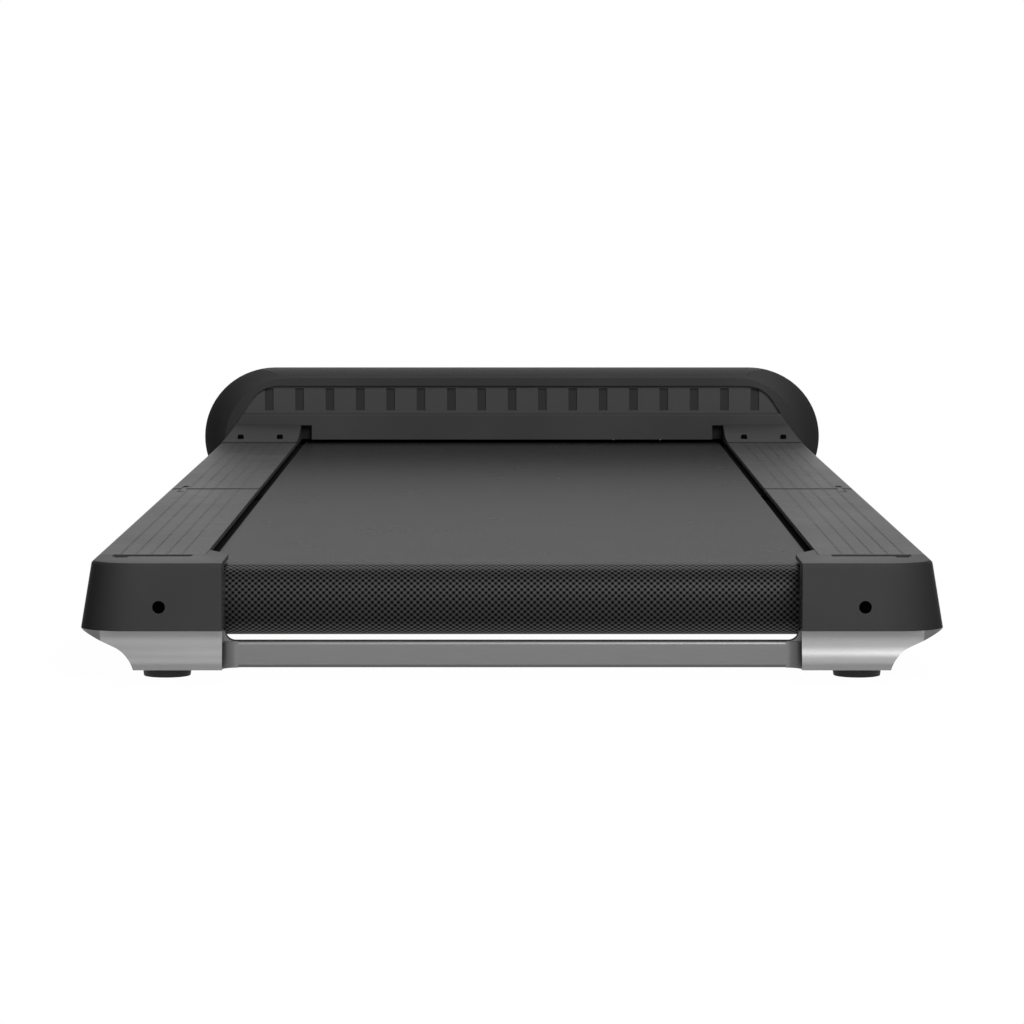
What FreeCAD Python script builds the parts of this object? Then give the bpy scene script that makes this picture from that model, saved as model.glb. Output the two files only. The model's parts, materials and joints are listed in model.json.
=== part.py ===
import FreeCAD, Part
import math
import os
import re
import Sketcher

# Folding walking pad. Lengths are in millimetres. +Y points to the motor hood, +Z is up, and the
# origin lies on the floor under the middle of the unfolded pad. Right-hand pieces are modelled, and
# their left-hand twins are mirrored.

SIZES = (
    # Whole pad
    ("overall_length", 1432, "tail to the nose of the hood"),
    ("hood_overhang", 20.1, "hood's side beyond the rails"),
    ("hood_rise", 58.9, "hood's crest above the rails"),
    # Fits
    ("running_fit", 0.05, "radial clearance of a pin or shaft in its hole"),
    ("seat_gap", 0.3, "gap between pieces that seat on each other"),
    ("cut_overrun", 5, "how far a cut runs past what it cuts"),
    # Belt and rollers, from which the widths follow outwards
    ("belt_width", 366, "walking belt"),
    ("belt_thickness", 1.6, "walking belt"),
    ("belt_drop", 4.9, "walking surface below the rail top"),
    ("belt_clearance", 0.3, "belt to roller, and belt to deck"),
    ("belt_rail_gap", 3.5, "belt's edge to the rail's inner edge"),
    ("belt_side_gap", 3, "belt's edge to what stands beside its lower run"),
    ("belt_under_gap", 2.5, "lower run of the belt to what lies under it"),
    ("roller_radius", 19.3, "front and rear roller"),
    ("roller_overhang", 18, "rollers and deck beyond the belt's edge"),
    ("roller_wall", 2, "roller tube"),
    ("rear_axis_inset", 48, "tail to the rear roller's axis"),
    ("front_axis_setback", 35, "front roller's axis in front of the hood's rear"),
    ("axle_radius", 6, "roller axle"),
    ("axle_seat", 8, "axle's end inside the side tube"),
    ("axle_travel", 15, "rear axle's slot, each way"),
    ("bearing_width", 11, "roller bearing"),
    # Frame
    ("tube_setback", 21, "roller's end to the side tube"),
    ("tube_width", 18, "side tube across"),
    ("tube_height", 38, "side tube"),
    ("tube_wall", 2, "wall of side and cross tubes"),
    ("tube_fold_setback", 2.5, "side tube's end to the middle of the fold"),
    ("tube_front_inset", 66, "side tube's front end behind the nose of the hood"),
    ("plate_inset", 16, "tension plate's rear face inside the tail"),
    ("plate_thickness", 3, "tension plate on the rear tube's end"),
    ("plate_margin", 8, "tension plate past the bolt, towards the belt"),
    ("cross_tube_depth", 30, "cross tube along the pad"),
    ("cross_tube_height", 14, "cross tube"),
    ("cross_tube_inset", 45, "outer cross tubes inside the deck's ends"),
    # Deck
    ("deck_thickness", 16, "board under the belt"),
    ("deck_fold_setback", 24, "board's end to the middle of the fold"),
    ("deck_roller_setback", 26, "board's end to the roller's axis"),
    ("cushion_height", 4, "rubber cushion under the board"),
    ("cushion_length", 40, "rubber cushion across the pad"),
    ("cushion_depth", 24, "rubber cushion along the pad"),
    ("cushion_inset", 51, "cushion's middle inside the deck's edge"),
    # Foot rails
    ("rail_overhang", 12, "rail's outer top edge beyond the side tube"),
    ("rail_flare", 6.8, "skirt's lower edge beyond the rail's top edge"),
    ("rail_edge_radius", 2.5, "round along the rail's outer top edge"),
    ("skirt_depth", 40.4, "rail top to the skirt's lower edge"),
    ("cover_wall", 3, "wall of rail covers and caps"),
    ("rail_rib", 2.5, "ribs that stand on the side tube, across"),
    ("rib_height", 3, "ribs that stand on the side tube"),
    ("groove_width", 0.8, "grip groove along the rail"),
    ("groove_depth", 0.25, "depth of a grip groove"),
    ("groove_margin", 14, "rail's edges to the outer grooves"),
    ("groove_count", 5, "grooves on each rail"),
    # Fold hinge
    ("rear_half_length", 600, "tail to the middle of the fold"),
    ("pin_depth", 12, "fold pins below the rail top"),
    ("fold_gap", 1, "gap between the rails end to end, unfolded"),
    ("fold_rise", 14, "gap between the rails face to face, folded"),
    ("pin_radius", 4, "fold pin"),
    ("pin_head_radius", 6.5, "head of a fold pin"),
    ("pin_head_thickness", 2.5, "head of a fold pin"),
    ("link_side_gap", 0.1, "fold link to the sides of its slot"),
    ("link_thickness", 4, "fold link plate"),
    # Belt tension
    ("bolt_setback", 9, "roller's end to a tension bolt"),
    ("bolt_radius", 3, "tension bolt"),
    ("bolt_tail", 13, "bolt past the rear axle's axis"),
    ("bolt_head_radius", 5, "tension bolt's head"),
    ("bolt_head_length", 6, "tension bolt's head"),
    ("bolt_socket_radius", 2, "key socket in the bolt's head"),
    ("bolt_socket_depth", 3, "key socket in the bolt's head"),
    ("tool_hole_radius", 3.5, "hole in the cap for the key"),
    # Rear caps
    ("cap_overlap", 13.9, "cap over the belt, past the rail's inner edge"),
    ("cap_length", 60, "cap along the rail"),
    ("cap_return", 25, "cap's inner side wall along the rail"),
    ("cap_corner_radius", 27, "upright outer corner of cap and bracket"),
    ("cap_ear_shoulder", 4, "ear's inner corner past the cap"),
    ("cap_ear_length", 33, "ear's tip past the cap"),
    ("cap_ear_radius", 8, "round on the ear's inner corner"),
    ("scoop_length", 13, "scoop in the cap's top, along the rail"),
    ("scoop_depth", 1.4, "scoop where it meets the rail cover"),
    ("scoop_inner_margin", 7.5, "rail's inner edge to the scoop"),
    ("scoop_outer_margin", 10, "scoop to the rail's outer edge"),
    ("thumb_inset", 2, "scoop's outer end to its deep stretch"),
    ("thumb_width", 8, "deep stretch of the scoop"),
    ("thumb_length", 20, "deep stretch of the scoop, along the rail"),
    ("thumb_depth", 2.2, "deep stretch of the scoop"),
    # Foot brackets and lift bar
    ("bracket_length", 58, "foot bracket along the pad"),
    ("bracket_height", 23.4, "foot bracket"),
    ("bracket_undercut", 33.3, "bracket's foot inside the rail's skirt"),
    ("bracket_draft", 3, "bracket's outer side, foot to cove"),
    ("bracket_foot_rise", 9.7, "bracket's underside to the cove's corner"),
    ("bracket_cove_radius", 21, "cove of the bracket's outer side"),
    ("kick_depth", 3.5, "bracket's rear lip behind its top"),
    ("kick_head", 15.2, "bracket's underside to the head of the kick"),
    ("kick_head_radius", 26, "hollow curve at the head of the kick"),
    ("kick_foot", 6.6, "bracket's underside to the foot of the kick"),
    ("kick_foot_radius", 18, "full curve at the foot of the kick"),
    ("bar_lift", 0.2, "lift bar above the brackets' underside"),
    ("bar_height", 15.8, "lift bar"),
    ("bar_inset", 12, "lift bar's rear face inside the tail"),
    ("bar_thickness", 12, "lift bar along the pad"),
    ("bar_horn", 1, "upright end of the lift bar"),
    ("bar_end_radius", 6, "round from the lift bar up to its ends"),
    ("bar_cove_radius", 9, "round from the lift bar out to the brackets"),
    ("bar_edge_radius", 2, "long edges of the lift bar"),
    # Feet
    ("foot_height", 7.3, "rubber foot under a bracket"),
    ("foot_radius", 15.1, "rubber foot at its top"),
    ("foot_taper", 1, "rubber foot narrower at the floor"),
    ("rear_foot_setback", 17.3, "rear foot's middle inside the bracket's foot"),
    ("rear_foot_inset", 38, "tail to a rear foot"),
    ("middle_foot_setback", 60, "middle of the fold to a middle foot"),
    ("middle_foot_radius", 14, "middle foot at its top"),
    ("front_foot_setback", 66, "front foot's middle inside the rail's skirt"),
    ("front_foot_inset", 145, "nose to a front foot"),
    # Hood shells
    ("hood_length", 211, "hood along the pad"),
    ("hood_underside", 4, "hood above the floor"),
    ("hood_wall", 3, "hood shells"),
    ("hood_rear_wall", 2.5, "hood's rear wall round the arch"),
    ("hood_pan_height", 36, "hood's underside to the parting line"),
    ("arch_side_gap", 1.5, "side tube to the arch"),
    ("arch_drop", 13.5, "arch below the hood's crest"),
    ("sill_depth", 8, "room for the side tubes inside the rear wall"),
    ("arch_sill_gap", 4.6, "side tube to the arch's sill"),
    ("arch_flare", 10.3, "arch's foot beyond its lower sides"),
    ("arch_lean", 19.3, "arch's shoulder inside its lower sides"),
    ("arch_step", 1, "arch's foot below the band"),
    ("arch_radius", 28, "upper corners of the arch"),
    ("cover_hood_gap", 2, "rail cover's end to the hood"),
    # Vent panel
    ("panel_lap", 1.5, "vent panel beyond the arch's sides"),
    ("panel_rise", 2.3, "vent panel above the arch"),
    ("panel_tuck", 4, "vent panel below the ledge"),
    ("panel_thickness", 3, "vent panel"),
    ("vent_width", 7.5, "vent recess across"),
    ("vent_margin", 2.5, "vent recess from the ledge and from the arch"),
    ("vent_depth", 1.4, "vent recess"),
    ("vent_end_margin", 26.4, "arch's side to the outer vent recess"),
    ("vent_count", 17, "vent recesses"),
    # Rear band
    ("band_side_gap", 0.3, "band and ramps to the arch"),
    ("band_web", 2.5, "wall at the back of the band's notch"),
    ("band_projection", 8, "band's face behind the hood's rear wall"),
    ("band_lean", 2, "band's face, foot to top"),
    ("band_gap", 3.2, "band above the belt"),
    ("band_height", 22.6, "band up to its ledge"),
    ("band_notch", 9.5, "notch in the band beside the rail's inner edge"),
    ("band_edge_radius", 2, "band's upper edge"),
    ("ramp_length", 85, "ramp's foot behind the hood's rear wall"),
    ("ramp_edge", 0.8, "ramp's foot"),
    ("ramp_bend", 48, "middle of the ramp's curve behind the hood's rear wall"),
    ("ramp_radius", 270, "curve of the ramp"),
    ("ramp_rise", 11.6, "ramp's head above the rail top"),
    ("screw_head_radius", 2.6, "ramp screw"),
    ("screw_head_length", 4.4, "ramp screw"),
    ("screw_setback", 58, "ramp screws behind the hood's rear wall"),
    ("screw_inner_margin", 15.9, "rail's inner edge to the inner screw"),
    ("screw_outer_margin", 15.4, "outer screw to the rail's outer edge"),
    ("screw_seat", 1, "screw seat above the ramp's underside"),
    # Display
    ("window_setback", 9, "display window in front of the hood's rear"),
    ("window_depth", 44, "display window along the pad"),
    ("window_rear_margin", 70.5, "window's rear corner to the hood's side"),
    ("window_front_margin", 53.5, "window's front corner to the hood's side"),
    ("display_drop", 13, "display board below the hood's crest"),
    ("display_thickness", 1.6, "display board"),
    ("display_margin", 49.5, "display board's end to the hood's side"),
    ("display_setback", 18, "display board in front of the hood's rear"),
    ("display_depth", 28, "display board along the pad"),
    ("display_post_inset", 6, "display post inside the board's end"),
    ("display_post_radius", 3.5, "display post"),
    # Motor and drive
    ("mount_thickness", 3.5, "mount plate under the side tubes"),
    ("mount_setback", 70, "mount plate's rear edge in front of the hood's rear"),
    ("mount_depth", 72, "mount plate along the pad"),
    ("mount_post_inset", 60, "mount post inside the side tube's outer face"),
    ("mount_post_radius", 7, "mount post on the pan"),
    ("motor_setback", 115, "motor's axis in front of the hood's rear"),
    ("motor_lift", 10, "motor above the mount plate"),
    ("motor_radius", 36, "motor"),
    ("motor_length", 110, "motor"),
    ("motor_wall", 5, "motor's can and end bells"),
    ("motor_gap", 6, "motor to the pulley's inner face"),
    ("motor_nose_radius", 16, "motor's front boss"),
    ("motor_nose_length", 4, "motor's front boss"),
    ("armature_gap", 2, "motor's can to the armature"),
    ("armature_end_gap", 8, "motor's end bells to the armature"),
    ("shaft_radius", 5, "motor shaft"),
    ("cradle_inset", 15, "motor cradle inside the motor's ends"),
    ("cradle_half_depth", 27, "motor cradle, each way along the pad"),
    ("cradle_drop", 20, "motor cradle's top below the motor's axis"),
    ("pulley_width", 17, "both pulleys"),
    ("pulley_flange", 2, "pulley flange, across and beyond the rim"),
    ("roller_pulley_radius", 30, "front roller's pulley"),
    ("motor_pulley_radius", 10, "motor's pulley"),
    ("drive_belt_thickness", 2, "drive belt"),
    # Electronics
    ("board_length", 140, "controller board across the pad"),
    ("board_side_gap", 32, "controller board to the side tube"),
    ("board_margin", 4, "controller board inside the mount plate's edges"),
    ("board_post_height", 12, "controller board above the mount plate"),
    ("board_thickness", 1.6, "controller board"),
    ("board_post_radius", 3, "post under the controller board"),
    ("board_post_margin", 5, "post inside the board's edges"),
    ("sink_length", 80, "heat sink across the pad"),
    ("sink_depth", 44, "heat sink along the pad"),
    ("sink_base", 5, "heat sink's base"),
    ("sink_height", 26, "heat sink with its fins"),
    ("fin_thickness", 2, "heat sink fin"),
    ("fin_count", 9, "heat sink fins"),
    ("inlet_reach", 110, "middle of the pad to the power inlet"),
    ("switch_reach", 150, "middle of the pad to the power switch"),
    ("inlet_rise", 17, "power inlet and switch above the parting line"),
    ("inlet_width", 30, "power inlet"),
    ("inlet_tall", 24, "power inlet and switch frame"),
    ("inlet_depth", 24, "power inlet into the hood"),
    ("inlet_wall", 3, "power inlet's wall"),
    ("blade_width", 4, "inlet blade"),
    ("blade_thickness", 2, "inlet blade"),
    ("blade_spacing", 7, "inlet's middle to an outer blade"),
    ("blade_rise", 4, "middle blade above the outer ones"),
    ("blade_length", 14, "inlet blade"),
    ("switch_width", 22, "switch frame"),
    ("switch_wall", 3, "switch frame"),
    ("switch_depth", 18, "switch frame into the hood"),
    ("rocker_radius", 10, "rounded face of the rocker"),
    ("rocker_gap", 0.5, "rocker to its frame"),
    ("rocker_pin_radius", 1.5, "pin that the rocker tips on"),
    # Transport wheels
    ("wheel_radius", 20, "transport wheel"),
    ("wheel_width", 18, "transport wheel"),
    ("wheel_reach", 150, "middle of the pad to a wheel"),
    ("wheel_inset", 30, "nose to the wheel's axis"),
    ("wheel_lift", 1, "wheel above the floor"),
    ("wheel_axle_radius", 3, "wheel axle"),
    ("wheel_groove", 2, "groove in the wheel's tread"),
    ("fork_thickness", 4, "fork plate beside a wheel"),
    ("fork_gap", 2, "wheel to its fork"),
    ("fork_half_height", 7, "fork plate, each way from the axle"),
    ("arch_gap", 3, "wheel to the opening in the pan"),
)

# The hood is lofted through stadium sections. Each row is a station along the hood, as shares of the
# hood's length, half width, crest and, for the underside, of the crest again.
HOOD_SHARES = (
    (0.000, 0.912, 0.948, 0.060),
    (0.035, 0.928, 0.966, 0.037),
    (0.190, 0.970, 1.000, 0.000),
    (0.450, 1.000, 0.980, 0.000),
    (0.700, 0.990, 0.895, 0.016),
    (0.910, 0.930, 0.755, 0.095),
    (1.000, 0.850, 0.630, 0.205),
)
# Cross tubes lie at these shares of the way between the outermost two.
CROSS_TUBE_SHARES = (0, 0.5, 1)

# Places that follow from the sizes.
PLACES = (
    # Along the pad
    ("rear_end", "-overall_length / 2"),
    ("front_end", "overall_length / 2"),
    ("hood_rear", "front_end - hood_length"),
    ("fold_middle", "rear_end + rear_half_length"),
    ("pin_spacing", "2 * pin_depth + fold_rise"),
    ("front_pin", "fold_middle + pin_spacing / 2"),
    ("rear_pin", "fold_middle - pin_spacing / 2"),
    ("fold_radius", "(pin_spacing - fold_gap) / 2"),
    ("rear_axis", "rear_end + rear_axis_inset"),
    ("front_axis", "hood_rear + front_axis_setback"),
    ("plate_rear", "rear_end + plate_inset"),
    ("plate_front", "plate_rear + plate_thickness"),
    ("front_deck_low", "fold_middle + deck_fold_setback"),
    ("front_deck_high", "front_axis - deck_roller_setback"),
    ("rear_deck_low", "rear_axis + deck_roller_setback"),
    ("rear_deck_high", "fold_middle - deck_fold_setback"),
    ("cap_front", "rear_end + cap_length"),
    ("return_front", "rear_end + cap_return"),
    ("bar_rear", "rear_end + bar_inset"),
    # Across the pad, from the middle outwards
    ("belt_half", "belt_width / 2"),
    ("rail_inner_reach", "belt_half + belt_rail_gap"),
    ("cap_inner_reach", "rail_inner_reach - cap_overlap"),
    ("roller_reach", "belt_half + roller_overhang"),
    ("cushion_reach", "roller_reach - cushion_inset"),
    ("bolt_reach", "roller_reach + bolt_setback"),
    ("tube_inner_reach", "roller_reach + tube_setback"),
    ("axle_reach", "tube_inner_reach + axle_seat"),
    ("tube_outer_reach", "tube_inner_reach + tube_width"),
    ("link_inner", "tube_outer_reach + seat_gap"),
    ("link_outer", "link_inner + link_thickness"),
    ("rail_outer_reach", "tube_outer_reach + rail_overhang"),
    ("rail_skirt_reach", "rail_outer_reach + rail_flare"),
    ("hood_half", "rail_skirt_reach + hood_overhang"),
    ("groove_first", "rail_inner_reach + groove_margin - groove_width / 2"),
    ("groove_pitch", "(rail_outer_reach - rail_inner_reach - 2 * groove_margin) / (groove_count - 1)"),
    ("scoop_inner", "rail_inner_reach + scoop_inner_margin"),
    ("scoop_outer", "rail_outer_reach - scoop_outer_margin"),
    ("thumb_outer", "scoop_outer - thumb_inset"),
    ("thumb_inner", "thumb_outer - thumb_width"),
    ("bracket_foot_reach", "rail_skirt_reach - bracket_undercut"),
    ("bracket_waist_reach", "bracket_foot_reach + bracket_draft"),
    ("rear_foot_reach", "bracket_foot_reach - rear_foot_setback"),
    ("front_foot_reach", "rail_skirt_reach - front_foot_setback"),
    # Upwards from the floor
    ("bracket_bottom", "foot_height"),
    ("bracket_waist_height", "bracket_bottom + bracket_foot_rise"),
    ("rail_skirt_height", "bracket_bottom + bracket_height"),
    ("rail_top", "rail_skirt_height + skirt_depth"),
    ("cover_under", "rail_top - cover_wall"),
    ("tube_top", "cover_under - rib_height"),
    ("tube_bottom", "tube_top - tube_height"),
    ("pin_height", "rail_top - pin_depth"),
    ("link_radius", "pin_depth - seat_gap"),
    ("bar_bottom", "bracket_bottom + bar_lift"),
    ("bar_top", "bar_bottom + bar_height"),
    ("belt_top", "rail_top - belt_drop"),
    ("loop_radius", "roller_radius + belt_clearance"),
    ("loop_outer", "loop_radius + belt_thickness"),
    ("axis_height", "belt_top - loop_outer"),
    ("deck_top", "belt_top - belt_thickness - belt_clearance"),
    ("deck_bottom", "deck_top - deck_thickness"),
    ("cross_tube_top", "deck_bottom - cushion_height"),
    ("cross_tube_bottom", "cross_tube_top - cross_tube_height"),
    # Hood
    ("hood_crest", "rail_top + hood_rise"),
    ("hood_split", "hood_underside + hood_pan_height"),
    ("cavity_rear", "hood_rear + hood_rear_wall"),
    ("cavity_front", "front_end - hood_wall"),
    ("arch_reach", "tube_outer_reach + arch_side_gap"),
    ("arch_top", "hood_crest - arch_drop"),
    ("arch_bottom", "tube_bottom - arch_sill_gap"),
    ("arch_foot_reach", "arch_reach + arch_flare"),
    ("arch_shoulder_reach", "arch_reach - arch_lean"),
    ("band_bottom", "belt_top + band_gap"),
    ("band_top", "band_bottom + band_height"),
    ("block_back", "hood_rear - seat_gap"),
    ("block_bottom", "rail_top + seat_gap"),
    ("ramp_top", "rail_top + ramp_rise"),
    ("screw_bottom", "block_bottom + screw_seat"),
    ("screw_place", "hood_rear - screw_setback"),
    ("screw_inner_reach", "rail_inner_reach + screw_inner_margin"),
    ("screw_outer_reach", "rail_outer_reach - screw_outer_margin"),
    ("panel_rear", "cavity_rear + seat_gap"),
    ("panel_front", "panel_rear + panel_thickness"),
    ("panel_top", "arch_top + panel_rise"),
    ("panel_bottom", "band_top - panel_tuck"),
    ("vent_bottom", "band_top + vent_margin"),
    ("vent_top", "arch_top - vent_margin"),
    ("vent_pitch", "2 * (arch_reach - vent_end_margin) / (vent_count - 1)"),
    ("window_rear", "hood_rear + window_setback"),
    ("window_front", "window_rear + window_depth"),
    ("window_rear_reach", "hood_half - window_rear_margin"),
    ("window_front_reach", "hood_half - window_front_margin"),
    ("display_top", "hood_crest - display_drop"),
    ("display_rear", "hood_rear + display_setback"),
    ("display_front", "display_rear + display_depth"),
    ("display_reach", "hood_half - display_margin"),
    ("display_post_reach", "display_reach - display_post_inset"),
    # Drive and electronics
    ("mount_rear", "hood_rear + mount_setback"),
    ("mount_front", "mount_rear + mount_depth"),
    ("mount_top", "tube_bottom"),
    ("mount_bottom", "mount_top - mount_thickness"),
    ("mount_post_reach", "tube_outer_reach - mount_post_inset"),
    ("pulley_inner_reach", "roller_reach"),
    ("pulley_outer_reach", "pulley_inner_reach + pulley_width"),
    ("drive_inner_reach", "pulley_inner_reach + pulley_flange + seat_gap"),
    ("drive_outer_reach", "pulley_outer_reach - pulley_flange - seat_gap"),
    ("motor_axis", "hood_rear + motor_setback"),
    ("motor_height", "mount_top + motor_lift + motor_radius"),
    ("motor_outer_reach", "pulley_inner_reach - motor_gap"),
    ("motor_inner_reach", "motor_outer_reach - motor_length"),
    ("bell_outer_reach", "motor_outer_reach - motor_wall"),
    ("bell_inner_reach", "motor_inner_reach + motor_wall"),
    ("cradle_outer_reach", "motor_outer_reach - cradle_inset"),
    ("cradle_inner_reach", "motor_inner_reach + cradle_inset"),
    ("cradle_top", "motor_height - cradle_drop"),
    ("board_outer_reach", "tube_inner_reach - board_side_gap"),
    ("board_inner_reach", "board_outer_reach - board_length"),
    ("board_height", "mount_top + board_post_height"),
    ("board_top", "board_height + board_thickness"),
    ("board_rear", "mount_rear + board_margin"),
    ("board_front", "mount_front - board_margin"),
    ("sink_rear", "(board_rear + board_front - sink_depth) / 2"),
    ("sink_inner", "(board_inner_reach + board_outer_reach - sink_length) / 2"),
    ("fin_step", "(sink_length - fin_thickness) / (fin_count - 1)"),
    ("inlet_height", "hood_split + inlet_rise"),
    ("inlet_rear", "front_end - inlet_depth"),
    ("switch_rear", "front_end - switch_depth"),
    ("rocker_axis", "front_end - rocker_radius"),
    ("wheel_axis", "front_end - wheel_inset"),
    ("wheel_height", "wheel_radius + wheel_lift"),
    ("fork_inner", "wheel_reach - wheel_width / 2 - fork_gap - fork_thickness"),
    ("fork_outer", "wheel_reach + wheel_width / 2 + fork_gap + fork_thickness"),
)

Vector = FreeCAD.Vector
AXES = {"x": Vector(1, 0, 0), "y": Vector(0, 1, 0), "z": Vector(0, 0, 1)}
SIZE_NAMES = {row[0] for row in SIZES}
PLACE_NAMES = {row[0] for row in PLACES}
SAME = 0.001

doc = FreeCAD.newDocument("walking_pad")
nodes = []


def full(expression):
    """A short expression written out, with sizes from the sheet and places from the set."""
    def owned(match):
        word = match.group()
        if word in SIZE_NAMES:
            return "sizes." + word
        if word in PLACE_NAMES:
            return "places." + word
        return word
    return re.sub(r"[a-z_]+", owned, str(expression))


def bind(item, setting, expression):
    item.setExpression(setting, full(expression))


def write_sizes():
    sheet = doc.addObject("Spreadsheet::Sheet", "sizes")
    for row, (alias, number, note) in enumerate(SIZES, start=1):
        sheet.set(f"A{row}", note)
        sheet.set(f"B{row}", str(number))
        sheet.setAlias(f"B{row}", alias)
    doc.recompute()


def write_places():
    places = doc.addObject("App::VarSet", "places")
    for name, expression in PLACES:
        places.addProperty("App::PropertyFloat", name)
        bind(places, name, expression)
    doc.recompute()
    return places


write_sizes()
places_set = write_places()


def value(expression):
    """The number that an expression comes to."""
    return float(places_set.evalExpression(full(expression)))


def half(low, high, share):
    """The place that lies a share of the way from low to high."""
    return f"({low}) + (({high}) - ({low})) * {share}"


# Primitives and booleans

def block(name, x, y, z):
    """Box between a low and a high place on each axis."""
    item = doc.addObject("Part::Box", name)
    for side, axis, (low, high) in zip(("Length", "Width", "Height"), "xyz", (x, y, z)):
        bind(item, side, f"({high}) - ({low})")
        bind(item, f"Placement.Base.{axis}", low)
    return item


def rod(name, axis, radius, centre, low, high):
    """Round bar along an axis from low to high, centred on the other two places."""
    item = doc.addObject("Part::Cylinder", name)
    item.Placement = FreeCAD.Placement(Vector(), FreeCAD.Rotation(AXES["z"], AXES[axis]))
    bind(item, "Radius", radius)
    bind(item, "Height", f"({high}) - ({low})")
    bind(item, f"Placement.Base.{axis}", low)
    for other, place in zip([a for a in "xyz" if a != axis], centre):
        bind(item, f"Placement.Base.{other}", place)
    return item


def taper(name, centre, low, high, low_radius, high_radius):
    """Upright tapered disc, for feet."""
    item = doc.addObject("Part::Cone", name)
    bind(item, "Radius1", low_radius)
    bind(item, "Radius2", high_radius)
    bind(item, "Height", f"({high}) - ({low})")
    for axis, place in zip("xyz", (*centre, low)):
        bind(item, f"Placement.Base.{axis}", place)
    return item


def fuse(name, pieces):
    item = doc.addObject("Part::MultiFuse", name)
    item.Shapes = pieces
    return item


def cut(name, base, tools):
    item = doc.addObject("Part::Cut", name)
    item.Base = base
    item.Tool = tools[0] if len(tools) == 1 else fuse(name + "_tools", tools)
    return item


def common(name, base, tool):
    item = doc.addObject("Part::Common", name)
    item.Base = base
    item.Tool = tool
    return item


def mirror(name, source):
    item = doc.addObject("Part::Mirroring", name)
    item.Source = source
    item.Normal = AXES["x"]
    return item


def group(name, pieces):
    """Separate solids that share one node."""
    item = doc.addObject("Part::Compound", name)
    item.Links = pieces
    return item


def keep(*items):
    nodes.extend(items)


def keep_pair(right):
    """Keep a right-hand piece and its mirrored twin."""
    keep(right, mirror(right.Name.replace("_right", "_left"), right))


def both_sides(name, piece):
    """One node with a right-hand piece and its mirrored twin."""
    return group(name, [piece, mirror(name + "_twin", piece)])


# Sketches and the bodies made from them

def origin_feature(body, role):
    return next(f for f in body.Origin.OriginFeatures if f.Role == role)


def new_sketch(body, name, plane, offset):
    """Sketch on one of the body's own origin planes, moved along the plane's normal."""
    sketch = body.newObject("Sketcher::SketchObject", name)
    sketch.AttachmentSupport = [(origin_feature(body, plane + "_Plane"), "")]
    sketch.MapMode = "FlatFace"
    bind(sketch, "AttachmentOffset.Base.z", offset)
    return sketch


def dimension(sketch, kind, expression, *geometry):
    index = sketch.addConstraint(Sketcher.Constraint(kind, *geometry, value(expression)))
    bind(sketch, f"Constraints[{index}]", expression)


def locate(sketch, geometry, position, u, v):
    dimension(sketch, "DistanceX", u, -1, 1, geometry, position)
    dimension(sketch, "DistanceY", v, -1, 1, geometry, position)


def near_end(sketch, geometry, point):
    """1 or 2, for the end of an arc that lies at a point."""
    start = sketch.Geometry[geometry].StartPoint
    end = sketch.Geometry[geometry].EndPoint
    return 1 if start.distanceToPoint(point) < end.distanceToPoint(point) else 2


def turning_left(start, middle, end):
    """Arc through three points, drawn anticlockwise as the sketcher keeps it."""
    if (middle - start).cross(end - middle).z < 0:
        start, end = end, start
    return Part.Arc(start, middle, end)


def draw_outline(sketch, corners):
    """Closed outline of straight lines. A corner is (u, v), or (u, v, radius) where it is round."""
    points = [Vector(value(corner[0]), value(corner[1]), 0) for corner in corners]
    count = len(points)
    starts = list(points)
    ends = [points[(i + 1) % count] for i in range(count)]
    arcs = {}
    for i, corner in enumerate(corners):
        if len(corner) == 3:
            radius = value(corner[2])
            back = (points[i - 1] - points[i]).normalize()
            ahead = (points[(i + 1) % count] - points[i]).normalize()
            half_angle = back.getAngle(ahead) / 2
            reach = radius / math.tan(half_angle)
            ends[i - 1] = points[i] + back * reach
            starts[i] = points[i] + ahead * reach
            centre = points[i] + (back + ahead).normalize() * (radius / math.sin(half_angle))
            middle = centre + (points[i] - centre).normalize() * radius
            arcs[i] = turning_left(ends[i - 1], middle, starts[i])
    lines = [sketch.addGeometry(Part.LineSegment(starts[i], ends[i]), False) for i in range(count)]
    for i, corner in enumerate(corners):
        if i in arcs:
            arc = sketch.addGeometry(arcs[i], False)
            first = near_end(sketch, arc, ends[i - 1])
            sketch.addConstraint(Sketcher.Constraint("Tangent", lines[i - 1], 2, arc, first))
            sketch.addConstraint(Sketcher.Constraint("Tangent", arc, 3 - first, lines[i], 1))
            dimension(sketch, "Radius", corner[2], arc)
            mark = sketch.addGeometry(Part.Point(points[i]), True)
            sketch.addConstraint(Sketcher.Constraint("PointOnObject", mark, 1, lines[i - 1]))
            sketch.addConstraint(Sketcher.Constraint("PointOnObject", mark, 1, lines[i]))
            locate(sketch, mark, 1, corner[0], corner[1])
        else:
            sketch.addConstraint(Sketcher.Constraint("Coincident", lines[i - 1], 2, lines[i], 1))
            locate(sketch, lines[i], 1, corner[0], corner[1])


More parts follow.
